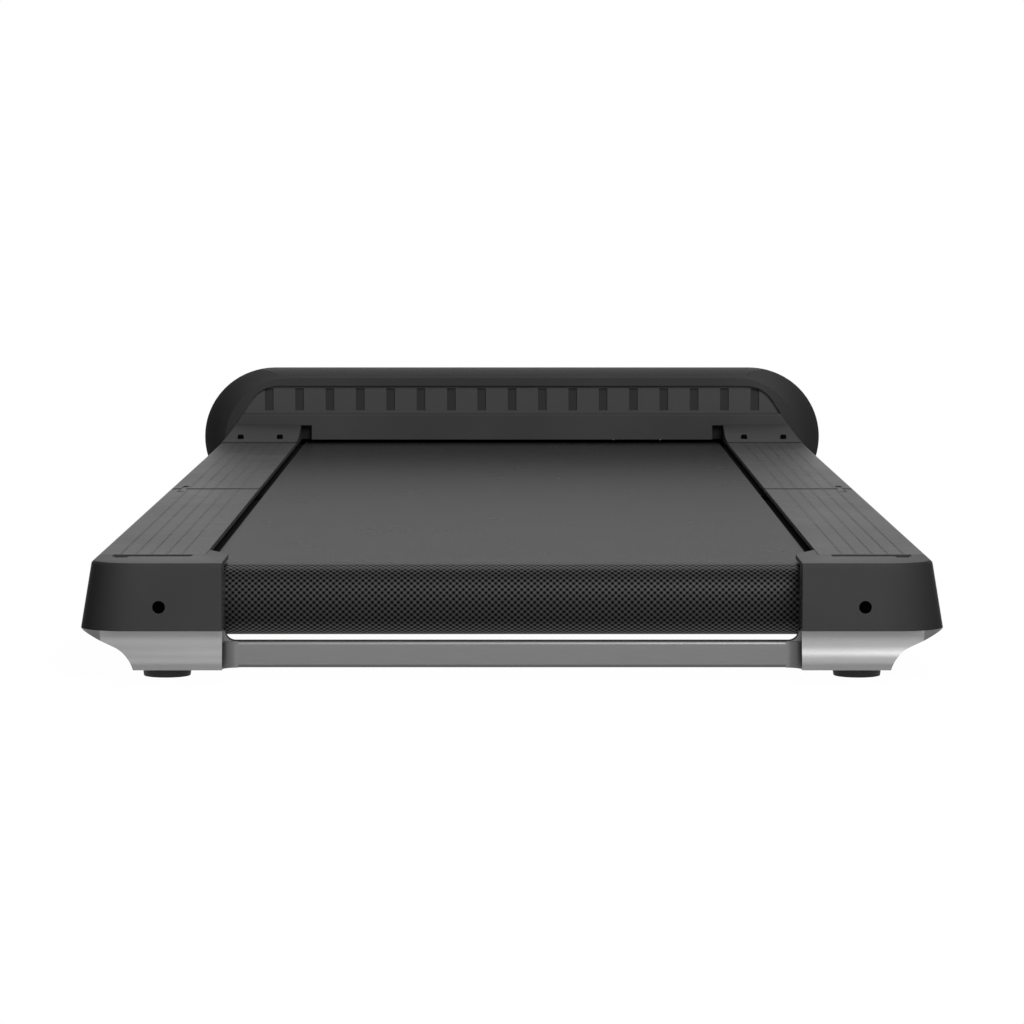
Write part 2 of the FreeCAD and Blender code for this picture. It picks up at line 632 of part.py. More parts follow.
def draw_loop(sketch, first, second):
    """Two arcs joined by their outer tangents, as a belt lies. Each end is (u, v, radius)."""
    ends = [[value(entry) for entry in end] for end in (first, second)]
    centres = [Vector(end[0], end[1], 0) for end in ends]
    radii = [end[2] for end in ends]
    span = centres[1] - centres[0]
    along = Vector(span).normalize()
    across = Vector(-along.y, along.x, 0)
    lean = (radii[0] - radii[1]) / span.Length
    normals = [along * lean + across * (side * math.sqrt(1 - lean * lean)) for side in (1, -1)]
    touch = [[centre + normal * radius for normal in normals] for centre, radius in zip(centres, radii)]
    arcs = []
    for k, away in ((0, along * -1), (1, along)):
        middle = centres[k] + away * radii[k]
        arcs.append(sketch.addGeometry(turning_left(touch[k][0], middle, touch[k][1]), False))
    for side in (0, 1):
        line = sketch.addGeometry(Part.LineSegment(touch[0][side], touch[1][side]), False)
        for k in (0, 1):
            end = near_end(sketch, arcs[k], touch[k][side])
            sketch.addConstraint(Sketcher.Constraint("Tangent", line, k + 1, arcs[k], end))
    for arc, end in zip(arcs, (first, second)):
        locate(sketch, arc, 3, end[0], end[1])
        dimension(sketch, "Radius", end[2], arc)


def padded(name, plane, low, high, draw):
    """Body padded from low to high across a plane. The drawing is made by a function of the sketch."""
    body = doc.addObject("PartDesign::Body", name)
    offset = f"-({high})" if plane == "XZ" else low
    sketch = new_sketch(body, name + "_sketch", plane, offset)
    draw(sketch)
    pad = body.newObject("PartDesign::Pad", name + "_pad")
    pad.Profile = sketch
    bind(pad, "Length", f"({high}) - ({low})")
    return body


def outlined(name, plane, low, high, corners):
    return padded(name, plane, low, high, lambda sketch: draw_outline(sketch, corners))


def looped(name, plane, low, high, *loops):
    """Body padded from one belt-like loop, or from the ring between two."""
    def draw(sketch):
        for first, second in loops:
            draw_loop(sketch, first, second)
    return padded(name, plane, low, high, draw)


def rounded(body, name, radius, chosen):
    """Fillet along the edges of the body so far that a test picks out."""
    doc.recompute()
    tip = body.Tip
    edges = [f"Edge{i}" for i, edge in enumerate(tip.Shape.Edges, start=1) if chosen(edge)]
    fillet = body.newObject("PartDesign::Fillet", name)
    fillet.Base = (tip, edges)
    bind(fillet, "Radius", radius)


def pocket_row(body, name, plane, offset, depth, corners, axis, pitch, count):
    """Row of like pockets in a body, cut to a depth against the plane's normal."""
    doc.recompute()
    solid = body.Tip.Shape.Volume
    sketch = new_sketch(body, name + "_sketch", plane, offset)
    draw_outline(sketch, corners)
    pocket = body.newObject("PartDesign::Pocket", name + "_pocket")
    pocket.Profile = sketch
    if depth:
        bind(pocket, "Length", depth)
    else:
        pocket.Type = "ThroughAll"
        pocket.Midplane = True
    doc.recompute()
    if not pocket.Shape.Volume < solid:
        raise RuntimeError(f"{name} cuts nothing")
    row = body.newObject("PartDesign::LinearPattern", name + "_row")
    row.Originals = [pocket]
    row.Direction = (origin_feature(body, axis + "_Axis"), [""])
    bind(row, "Length", f"{pitch} * ({count} - 1)")
    bind(row, "Occurrences", count)
    body.Tip = row


def lies_in(edge, axis, place):
    """True for an edge that lies in a plane across an axis."""
    return all(math.isclose(getattr(vertex.Point, axis), place, abs_tol=SAME) for vertex in edge.Vertexes)


# Fold hinge

def fold_corner(name, pin, low, high):
    """What rounds a rail's end about its fold pin, so that the halves roll over each other."""
    corner = block(name + "_block",
                   ("rail_inner_reach - cut_overrun", "rail_skirt_reach + cut_overrun"),
                   (low, high), ("pin_height", "rail_top + cut_overrun"))
    wheel = rod(name + "_round", "x", "fold_radius", (pin, "pin_height"),
                "rail_inner_reach - 2 * cut_overrun", "rail_skirt_reach + 2 * cut_overrun")
    return cut(name, corner, [wheel])


def pin_hole(name, pin):
    return rod(name, "x", "pin_radius + running_fit", (pin, "pin_height"),
               "tube_inner_reach - cut_overrun", "link_outer + cut_overrun")


def fold_pins(name, pin):
    shank = rod(name + "_shank", "x", "pin_radius", (pin, "pin_height"),
                "tube_inner_reach", "link_outer + seat_gap + pin_head_thickness")
    head = rod(name + "_head", "x", "pin_head_radius", (pin, "pin_height"),
               "link_outer + seat_gap", "link_outer + seat_gap + pin_head_thickness")
    keep(both_sides(name, fuse(name + "_right", [shank, head])))


def fold_links():
    plate = looped("fold_link_plate", "YZ", "link_inner", "link_outer",
                   (("front_pin", "pin_height", "link_radius"), ("rear_pin", "pin_height", "link_radius")))
    holes = [pin_hole("fold_link_hole_front", "front_pin"), pin_hole("fold_link_hole_rear", "rear_pin")]
    keep_pair(cut("fold_link_right", plate, holes))


# Frame and deck

def side_tube(name, low, high, extras, holes):
    outside = block(name + "_outside", ("tube_inner_reach", "tube_outer_reach"), (low, high),
                    ("tube_bottom", "tube_top"))
    bore = block(name + "_bore",
                 ("tube_inner_reach + tube_wall", "tube_outer_reach - tube_wall"),
                 (low, f"{high} + cut_overrun"),
                 ("tube_bottom + tube_wall", "tube_top - tube_wall"))
    solid = fuse(name + "_solid", [outside, *extras]) if extras else outside
    keep_pair(cut(name, solid, [bore, *holes]))


def side_tubes():
    axle_hole = rod("front_axle_hole", "x", "axle_radius + running_fit", ("front_axis", "axis_height"),
                    "tube_inner_reach - cut_overrun", "tube_inner_reach + cut_overrun")
    side_tube("front_side_tube_right", "fold_middle + tube_fold_setback", "front_end - tube_front_inset",
              [], [axle_hole, pin_hole("front_tube_pin_hole", "front_pin")])
    plate = block("tension_plate", ("bolt_reach - plate_margin", "tube_outer_reach"),
                  ("plate_rear", "plate_front"), ("tube_bottom", "tube_top"))
    slot = block("rear_axle_slot",
                 ("tube_inner_reach - cut_overrun", "tube_inner_reach + cut_overrun"),
                 ("rear_axis - axle_travel", "rear_axis + axle_travel"),
                 ("axis_height - axle_radius - running_fit", "axis_height + axle_radius + running_fit"))
    bolt_hole = rod("tension_plate_hole", "y", "bolt_radius + running_fit", ("bolt_reach", "axis_height"),
                    "plate_rear - cut_overrun", "plate_front + cut_overrun")
    side_tube("rear_side_tube_right", "plate_front", "fold_middle - tube_fold_setback",
              [plate], [slot, bolt_hole, pin_hole("rear_tube_pin_hole", "rear_pin")])


def deck_half(side, low, high):
    """Deck board of one half, its cross tubes and the cushions between them."""
    keep(block(side + "_deck_board", ("-roller_reach", "roller_reach"), (low, high),
               ("deck_bottom", "deck_top")))
    tubes = []
    cushions = []
    for share in CROSS_TUBE_SHARES:
        middle = half(f"{low} + cross_tube_inset", f"{high} - cross_tube_inset", share)
        along = (f"{middle} - cross_tube_depth / 2", f"{middle} + cross_tube_depth / 2")
        label = f"{side}_cross_tube_{len(tubes) + 1}"
        outside = block(label + "_outside", ("-tube_inner_reach", "tube_inner_reach"), along,
                        ("cross_tube_bottom", "cross_tube_top"))
        bore = block(label + "_bore",
                     ("-tube_inner_reach - cut_overrun", "tube_inner_reach + cut_overrun"),
                     (f"{along[0]} + tube_wall", f"{along[1]} - tube_wall"),
                     ("cross_tube_bottom + tube_wall", "cross_tube_top - tube_wall"))
        tubes.append(cut(label, outside, [bore]))
        cushion = block(label + "_cushion",
                        ("cushion_reach - cushion_length / 2", "cushion_reach + cushion_length / 2"),
                        (f"{middle} - cushion_depth / 2", f"{middle} + cushion_depth / 2"),
                        ("cross_tube_top", "deck_bottom"))
        cushions += [cushion, mirror(label + "_cushion_twin", cushion)]
    keep(group(side + "_cross_tubes", tubes), group(side + "_deck_cushions", cushions))


def rail_cover(name, low, high, pin, corner_low, corner_high, slot):
    """Grooved foot rail: a hollow skirted cover on two ribs, slotted where the fold link swings up."""
    section = (
        ("rail_inner_reach", "rail_top"),
        ("rail_outer_reach", "rail_top", "rail_edge_radius"),
        ("rail_skirt_reach", "rail_skirt_height"),
        ("rail_skirt_reach - cover_wall", "rail_skirt_height"),
        ("rail_outer_reach - cover_wall", "cover_under"),
        ("tube_outer_reach", "cover_under"),
        ("tube_outer_reach", "tube_top"),
        ("tube_outer_reach - rail_rib", "tube_top"),
        ("tube_outer_reach - rail_rib", "cover_under"),
        ("tube_inner_reach + rail_rib", "cover_under"),
        ("tube_inner_reach + rail_rib", "tube_top"),
        ("tube_inner_reach", "tube_top"),
        ("tube_inner_reach", "cover_under"),
        ("rail_inner_reach", "cover_under"),
    )
    body = outlined(name + "_body", "XZ", low, high, section)
    groove = (
        ("groove_first", "rail_top - groove_depth"),
        ("groove_first + groove_width", "rail_top - groove_depth"),
        ("groove_first + groove_width", "rail_top + cut_overrun"),
        ("groove_first", "rail_top + cut_overrun"),
    )
    pocket_row(body, name + "_groove", "XZ", f"-({high})", None, groove, "X",
               "groove_pitch", "groove_count")
    link_slot = block(name + "_link_slot",
                      ("link_inner - link_side_gap", "link_outer + link_side_gap"), slot,
                      ("cover_under - cut_overrun", "rail_top + cut_overrun"))
    keep_pair(cut(name, body, [fold_corner(name + "_corner", pin, corner_low, corner_high), link_slot]))


def rail_covers():
    rail_cover("front_rail_cover_right", "fold_middle + fold_gap / 2", "hood_rear - cover_hood_gap",
               "front_pin", "fold_middle", "front_pin",
               ("fold_middle", "front_pin + link_radius + seat_gap"))
    rail_cover("rear_rail_cover_right", "cap_front", "fold_middle - fold_gap / 2",
               "rear_pin", "rear_pin", "fold_middle",
               ("rear_pin - link_radius - seat_gap", "fold_middle"))


# Belt and rollers

def walking_belt():
    runs = [(("rear_axis", "axis_height", radius), ("front_axis", "axis_height", radius))
            for radius in ("loop_outer", "loop_radius")]
    keep(looped("walking_belt", "YZ", "-belt_half", "belt_half", *runs))


def roller(side, axis):
    """Roller tube on two bearings, which turn on a fixed axle."""
    centre = (axis, "axis_height")
    outside = rod(side + "_roller_outside", "x", "roller_radius", centre,
                  "-roller_reach", "roller_reach")
    bore = rod(side + "_roller_bore", "x", "roller_radius - roller_wall", centre,
               "-roller_reach - cut_overrun", "roller_reach + cut_overrun")
    keep(cut(side + "_roller_tube", outside, [bore]))
    race = rod(side + "_bearing_outside", "x", "roller_radius - roller_wall - running_fit", centre,
               "roller_reach - bearing_width", "roller_reach")
    race_bore = rod(side + "_bearing_bore", "x", "axle_radius + running_fit", centre,
                    "roller_reach - bearing_width - cut_overrun", "roller_reach + cut_overrun")
    keep(both_sides(side + "_roller_bearings", cut(side + "_bearing", race, [race_bore])))


def axle(name, axis):
    return rod(name, "x", "axle_radius", (axis, "axis_height"), "-axle_reach", "axle_reach")


def rollers():
    roller("front", "front_axis")
    keep(axle("front_roller_axle", "front_axis"))
    roller("rear", "rear_axis")
    hole = rod("rear_axle_hole_right", "y", "bolt_radius + running_fit", ("bolt_reach", "axis_height"),
               "rear_axis - 2 * axle_radius", "rear_axis + 2 * axle_radius")
    bar = axle("rear_roller_axle_bar", "rear_axis")
    keep(cut("rear_roller_axle", bar, [hole, mirror("rear_axle_hole_left", hole)]))


def tension_bolts():
    centre = ("bolt_reach", "axis_height")
    shank = rod("tension_bolt_shank", "y", "bolt_radius", centre, "plate_rear - bolt_head_length",
                "rear_axis + bolt_tail")
    head = rod("tension_bolt_head", "y", "bolt_head_radius", centre, "plate_rear - bolt_head_length",
               "plate_rear")
    socket = rod("tension_bolt_socket", "y", "bolt_socket_radius", centre,
                 "plate_rear - bolt_head_length - cut_overrun",
                 "plate_rear - bolt_head_length + bolt_socket_depth")
    keep_pair(cut("tension_bolt_right", fuse("tension_bolt_solid", [shank, head]), [socket]))


# Tail: caps, foot brackets, lift bar and feet

def cap_form(name, wall, bottom, low, high):
    """The cap's block, set in by a wall, with its upright outer corner and top edges rounded."""
    corners = (
        (f"cap_inner_reach + {wall}", bottom),
        (f"rail_skirt_reach - {wall}", bottom),
        (f"rail_skirt_reach - {wall}", "rail_skirt_height"),
        (f"rail_outer_reach - {wall}", f"rail_top - {wall}"),
        (f"cap_inner_reach + {wall}", f"rail_top - {wall}"),
    )
    if bottom == "rail_skirt_height":
        corners = corners[:1] + corners[2:]
    body = outlined(name, "XZ", low, high, corners)
    rear = value(low)
    top = value(f"rail_top - {wall}")
    side = value("rail_outer_reach - cap_corner_radius")
    rounded(body, name + "_corner", f"cap_corner_radius - {wall}",
            lambda edge: lies_in(edge, "y", rear) and edge.BoundBox.XMin > side
            and edge.BoundBox.ZMax > top - SAME)
    if wall == "0":
        rounded(body, name + "_edge", "rail_edge_radius",
                lambda edge: lies_in(edge, "y", rear) and lies_in(edge, "z", top))
    return body


def scoop(name, x, length, depth):
    """Shallow wedge cut into the cap's top, deepest against the rail cover."""
    return outlined(name, "YZ", *x, (
        (f"cap_front - {length}", "rail_top"),
        ("cap_front", f"rail_top - {depth}"),
        ("cap_front + cut_overrun", f"rail_top - {depth}"),
        ("cap_front + cut_overrun", "rail_top + cut_overrun"),
        (f"cap_front - {length}", "rail_top + cut_overrun"),
    ))


def rear_caps():
    form = cap_form("rear_cap_form", "0", "rail_skirt_height", "rear_end", "cap_front")
    hollow = cap_form("rear_cap_hollow", "cover_wall", "rail_skirt_height - cut_overrun",
                      "rear_end + cover_wall", "cap_front + cut_overrun")
    inner_side = block("rear_cap_inner_side",
                       ("cap_inner_reach - cut_overrun", "cap_inner_reach + 2 * cover_wall"),
                       ("return_front", "cap_front + cut_overrun"),
                       ("rail_skirt_height - cut_overrun", "cover_under"))
    scoops = [scoop("rear_cap_scoop", ("scoop_inner", "scoop_outer"), "scoop_length", "scoop_depth"),
              scoop("rear_cap_thumb", ("thumb_inner", "thumb_outer"), "thumb_length", "thumb_depth")]
    tool_hole = rod("rear_cap_tool_hole", "y", "tool_hole_radius", ("bolt_reach", "axis_height"),
                    "rear_end - cut_overrun", "rear_end + cover_wall + cut_overrun")
    shell = cut("rear_cap_shell", form, [hollow, inner_side, tool_hole, *scoops])
    ear = outlined("rear_cap_ear", "XY", "cover_under", "rail_top", (
        ("cap_inner_reach", "return_front"),
        ("rail_inner_reach - seat_gap", "return_front"),
        ("rail_inner_reach - seat_gap", "cap_front + cap_ear_length"),
        ("cap_inner_reach", "cap_front + cap_ear_shoulder", "cap_ear_radius"),
    ))
    keep_pair(fuse("rear_cap_right", [shell, ear]))


def rear_brackets():
    """Cast bracket under a cap: coved down to its foot, kicked out to the rear, with the cap's corner."""
    form = outlined("rear_bracket_form", "XZ", "rear_end", "rear_end + bracket_length", (
        ("cap_inner_reach", "bracket_bottom"),
        ("bracket_foot_reach", "bracket_bottom"),
        ("bracket_waist_reach", "bracket_waist_height", "bracket_cove_radius"),
        ("rail_skirt_reach", "rail_skirt_height"),
        ("cap_inner_reach", "rail_skirt_height"),
    ))
    kicked = outlined("rear_bracket_kick", "YZ", "cap_inner_reach", "rail_skirt_reach", (
        ("rear_end", "bracket_bottom"),
        ("rear_end + bracket_length", "bracket_bottom"),
        ("rear_end + bracket_length", "rail_skirt_height"),
        ("rear_end + kick_depth", "rail_skirt_height"),
        ("rear_end + kick_depth", "bracket_bottom + kick_head", "kick_head_radius"),
        ("rear_end", "bracket_bottom + kick_foot", "kick_foot_radius"),
    ))
    corner_block = block("rear_bracket_corner_block",
                         ("rail_skirt_reach - cap_corner_radius", "rail_skirt_reach + cut_overrun"),
                         ("rear_end - cut_overrun", "rear_end + cap_corner_radius"),
                         ("bracket_bottom - cut_overrun", "rail_skirt_height + cut_overrun"))
    corner_round = rod("rear_bracket_corner_round", "z", "cap_corner_radius",
                       ("rail_skirt_reach - cap_corner_radius", "rear_end + cap_corner_radius"),
                       "bracket_bottom - 2 * cut_overrun", "rail_skirt_height + 2 * cut_overrun")
    corner = cut("rear_bracket_corner", corner_block, [corner_round])
    beyond = "rear_end + bracket_length + cut_overrun"
    tube_seat = block("rear_bracket_tube_seat",
                      ("cap_inner_reach - cut_overrun", "tube_outer_reach + seat_gap"),
                      ("plate_rear - seat_gap", beyond),
                      ("tube_bottom", "rail_skirt_height + cut_overrun"))
    belt_room = block("rear_bracket_belt_room",
                      ("cap_inner_reach - cut_overrun", "roller_reach + belt_side_gap"),
                      ("return_front", beyond),
                      ("axis_height - loop_outer - belt_under_gap", "rail_skirt_height + cut_overrun"))
    solid = common("rear_bracket_solid", form, kicked)
    keep_pair(cut("rear_bracket_right", solid, [corner, tube_seat, belt_room]))


def lift_bar():
    """Bar between the brackets, with a rounded web up each end."""
    along = ("bar_rear", "bar_rear + bar_thickness")
    bar = outlined("lift_bar_form", "XZ", *along, (
        ("-cap_inner_reach", "bar_bottom"),
        ("cap_inner_reach", "bar_bottom"),
        ("cap_inner_reach", "bar_top"),
        ("-cap_inner_reach", "bar_top"),
    ))
    longest = value("cap_inner_reach")
    rounded(bar, "lift_bar_edges", "bar_edge_radius", lambda edge: edge.BoundBox.XLength > longest)
    start = "cap_inner_reach - bar_horn - bar_end_radius"
    corner = block("lift_bar_corner", (start, "cap_inner_reach"),
                   ("bar_rear + bar_edge_radius", "bar_rear + bar_thickness - bar_edge_radius"),
                   ("bar_top - bar_edge_radius", "bar_top + bar_end_radius"))
    sweep = rod("lift_bar_sweep", "y", "bar_end_radius", (start, "bar_top + bar_end_radius"), *along)
    web = cut("lift_bar_web", corner, [sweep])
    cove_block = block("lift_bar_cove_block", ("cap_inner_reach - bar_cove_radius", "cap_inner_reach"),
                       ("bar_rear - bar_cove_radius", "bar_rear + bar_edge_radius"),
                       ("bar_bottom", "bar_top"))
    cove_round = rod("lift_bar_cove_round", "z", "bar_cove_radius",
                     ("cap_inner_reach - bar_cove_radius", "bar_rear - bar_cove_radius"),
                     "bar_bottom - cut_overrun", "bar_top + cut_overrun")
    cove = cut("lift_bar_cove", cove_block, [cove_round])
    twins = [mirror("lift_bar_web_twin", web), mirror("lift_bar_cove_twin", cove)]
    keep(fuse("lift_bar", [bar, web, cove, *twins]))


def feet():
    def foot(name, centre, top, radius):
        return both_sides(name, taper(name + "_right", centre, "0", top, f"{radius} - foot_taper", radius))

    tube_middle = half("tube_inner_reach", "tube_outer_reach", 0.5)
    keep(foot("rear_feet", ("rear_foot_reach", "rear_end + rear_foot_inset"), "bracket_bottom",
              "foot_radius"),
         foot("middle_feet_rear", (tube_middle, "fold_middle - middle_foot_setback"), "tube_bottom",
              "middle_foot_radius"),
         foot("middle_feet_front", (tube_middle, "fold_middle + middle_foot_setback"), "tube_bottom",
              "middle_foot_radius"))


# Hood

def hood_section(name, station, half_width, low, high):
    """One stadium section of the hood, upright across the pad."""
    sketch = doc.addObject("Sketcher::SketchObject", name)
    sketch.Placement = FreeCAD.Placement(Vector(), FreeCAD.Rotation(AXES["x"], 90))
    bind(sketch, "Placement.Base.y", station)
    middle = f"(({low}) + ({high})) / 2"
    radius = f"(({high}) - ({low})) / 2"
    draw_loop(sketch, (f"{radius} - ({half_width})", middle, radius),
              (f"{half_width} - {radius}", middle, radius))
    return sketch


def hood_loft(name, shares, wall, rear, front, ruled=False):
    """The hood's form, set in by a wall, from its rear to its nose."""
    loft = doc.addObject("Part::Loft", name)
    sections = []
    for along, width, top, bottom in shares:
        station = f"hood_rear + hood_length * {along}"
        if along == shares[0][0]:
            station = rear
        elif along == shares[-1][0]:
            station = front
        sections.append(hood_section(
            f"{name}_section_{len(sections) + 1}", station, f"hood_half * {width} - {wall}",
            f"hood_underside + hood_crest * {bottom} + {wall}", f"hood_crest * {top} - {wall}"))
    loft.Sections = sections
    loft.Solid = True
    loft.Ruled = ruled
    return loft


def window_prism(name, gap):
    return outlined(name, "XY", "hood_crest / 2", "hood_crest + cut_overrun", (
        (f"-window_rear_reach - {gap}", f"window_rear - {gap}"),
        (f"window_rear_reach + {gap}", f"window_rear - {gap}"),
        (f"window_front_reach + {gap}", f"window_front + {gap}"),
        (f"-window_front_reach - {gap}", f"window_front + {gap}"),
    ))


def across(middle, width, gap):
    return (f"{middle} - {width} / 2 - {gap}", f"{middle} + {width} / 2 + {gap}")


def arch_prism(name, gap, bottom, low, high):
    """The hood's rear arch, set in by a gap: its sides lean in to rounded shoulders."""
    return outlined(name, "XZ", low, high, (
        (f"{gap} - arch_foot_reach", bottom),
        (f"arch_foot_reach - {gap}", bottom),
        (f"arch_foot_reach - {gap}", "rail_top"),
        (f"arch_shoulder_reach - {gap}", f"arch_top - {gap}", "arch_radius"),
        (f"{gap} - arch_shoulder_reach", f"arch_top - {gap}", "arch_radius"),
        (f"{gap} - arch_foot_reach", "rail_top"),
    ))


def hood():
    outer = hood_loft("hood_outer", HOOD_SHARES, "0", "hood_rear", "front_end")
    inner = hood_loft("hood_inner", HOOD_SHARES, "hood_wall", "cavity_rear", "cavity_front", ruled=True)
    shell = cut("hood_shell", outer, [inner])
    rear_wall = ("hood_rear - cut_overrun", "cavity_rear + seat_gap")
    arch = arch_prism("hood_arch", "0", "band_bottom - arch_step", *rear_wall)
    sill = block("hood_sill_room", ("-arch_reach", "arch_reach"),
                 ("hood_rear - cut_overrun", "cavity_rear + sill_depth"), ("arch_bottom", "rail_top"))
    wide = ("-hood_half - cut_overrun", "hood_half + cut_overrun")
    long = ("hood_rear - cut_overrun", "front_end + cut_overrun")

    keep(common("display_window", shell, window_prism("display_window_prism", "0")))
    upper = common("hood_upper_half", shell,
                   block("hood_upper_room", wide, long, ("hood_split", "hood_crest + cut_overrun")))
    inlet_hole = block("inlet_hole", across("inlet_reach", "inlet_width", "seat_gap"),
                       ("cavity_front - cut_overrun", "front_end + cut_overrun"),
                       across("inlet_height", "inlet_tall", "seat_gap"))
    switch_hole = block("switch_hole", across("switch_reach", "switch_width", "seat_gap"),
                        ("cavity_front - cut_overrun", "front_end + cut_overrun"),
                        across("inlet_height", "inlet_tall", "seat_gap"))
    upper_open = cut("hood_upper_open", upper,
                     [arch, sill, window_prism("display_window_room", "seat_gap"), inlet_hole, switch_hole])
    post = rod("display_post_rod", "z", "display_post_radius",
               ("display_post_reach", half("display_rear", "display_front", 0.5)),
               "display_top", "hood_crest")
    post = common("display_post", post, outer)
    keep(fuse("hood_upper_shell", [upper_open, post, mirror("display_post_twin", post)]))

    lower = common("hood_lower_half", shell,
                   block("hood_lower_room", wide, long, ("0", "hood_split - seat_gap")))
    wheel_room = block("wheel_room", ("fork_inner - arch_gap", "fork_outer + arch_gap"),
                       ("wheel_axis - wheel_radius - arch_gap", "wheel_axis + wheel_radius + arch_gap"),
                       ("-cut_overrun", "wheel_height + wheel_radius + arch_gap"))
    lower_open = cut("hood_lower_open", lower, [sill, wheel_room, mirror("wheel_room_twin", wheel_room)])
    mount_post = rod("mount_post_rod", "z", "mount_post_radius",
                     ("mount_post_reach", half("mount_rear", "mount_front", 0.25)), "0", "mount_bottom")
    mount_post = common("mount_post", mount_post, outer)
    keep(fuse("hood_base_pan", [lower_open, mount_post, mirror("mount_post_twin", mount_post)]))

    foot = taper("front_foot_form", ("front_foot_reach", "front_end - front_foot_inset"), "0",
                 "2 * hood_underside", "foot_radius - foot_taper", "foot_radius")
    keep(both_sides("front_feet", cut("front_foot", foot, [outer])))


def vent_panel():
    body = outlined("vent_panel_form", "XZ", "panel_rear", "panel_front", (
        ("-arch_foot_reach", "panel_bottom"),
        ("arch_foot_reach", "panel_bottom"),
        ("arch_foot_reach", "panel_top"),
        ("-arch_foot_reach", "panel_top"),
    ))
    first = "-vent_pitch * (vent_count - 1) / 2"
    recess = (
        (f"{first} - vent_width / 2", "vent_bottom"),
        (f"{first} + vent_width / 2", "vent_bottom"),
        (f"{first} + vent_width / 2", "vent_top"),
        (f"{first} - vent_width / 2", "vent_top"),
    )
    pocket_row(body, "vent", "XZ", "-panel_rear", "vent_depth", recess, "X", "vent_pitch", "vent_count")
    edge = arch_prism("vent_panel_edge", "(0 - panel_lap)", "band_bottom", "panel_rear - cut_overrun",
                      "panel_front + cut_overrun")
    keep(common("hood_vent_panel", body, edge))


def rear_band():
    """Band over the belt, with a ramp up to it from the end of each rail."""
    band = outlined("rear_band_form", "YZ", "-arch_foot_reach", "arch_foot_reach", (
        ("hood_rear - band_projection", "band_bottom"),
        ("cavity_rear", "band_bottom"),
        ("cavity_rear", "band_top"),
        ("hood_rear - band_projection + band_lean", "band_top", "band_edge_radius"),
    ))
    side_room = block("rear_band_side_room",
                      ("rail_inner_reach - band_notch", "arch_foot_reach + cut_overrun"),
                      ("hood_rear - band_projection - cut_overrun", "cavity_rear - band_web"),
                      ("band_bottom - cut_overrun", "ramp_top - ramp_edge"))
    lintel = cut("rear_band_lintel", band, [side_room, mirror("rear_band_side_room_twin", side_room)])
    ramp = outlined("rail_ramp", "YZ", "rail_inner_reach", "rail_outer_reach", (
        ("hood_rear - ramp_length", "block_bottom"),
        ("block_back", "block_bottom"),
        ("block_back", "ramp_top"),
        ("hood_rear - band_projection", "ramp_top"),
        ("hood_rear - ramp_bend", "block_bottom + ramp_edge", "ramp_radius"),
        ("hood_rear - ramp_length", "block_bottom + ramp_edge"),
    ))
    screws = []
    holes = []
    for side, reach in (("inner", "screw_inner_reach"), ("outer", "screw_outer_reach")):
        centre = (reach, "screw_place")
        holes.append(rod(f"ramp_hole_{side}", "z", "screw_head_radius + seat_gap", centre, "screw_bottom",
                         "ramp_top + cut_overrun"))
        screw = rod(f"ramp_screw_{side}", "z", "screw_head_radius", centre, "screw_bottom",
                    "screw_bottom + screw_head_length")
        screws += [screw, mirror(f"ramp_screw_{side}_twin", screw)]
    drilled = cut("rail_ramp_drilled", ramp, holes)
    whole = fuse("rear_band_whole", [lintel, drilled, mirror("rail_ramp_twin", drilled)])
    edge = arch_prism("rear_band_edge", "band_side_gap", "band_bottom - arch_step",
                      "hood_rear - ramp_length - cut_overrun", "cavity_rear + cut_overrun")
    keep(common("hood_rear_band", whole, edge))
    keep(group("rail_end_screws", screws))


def display_board():
    keep(block("display_board", ("-display_reach", "display_reach"), ("display_rear", "display_front"),
               ("display_top - display_thickness", "display_top")))


# Drive and electronics inside the hood

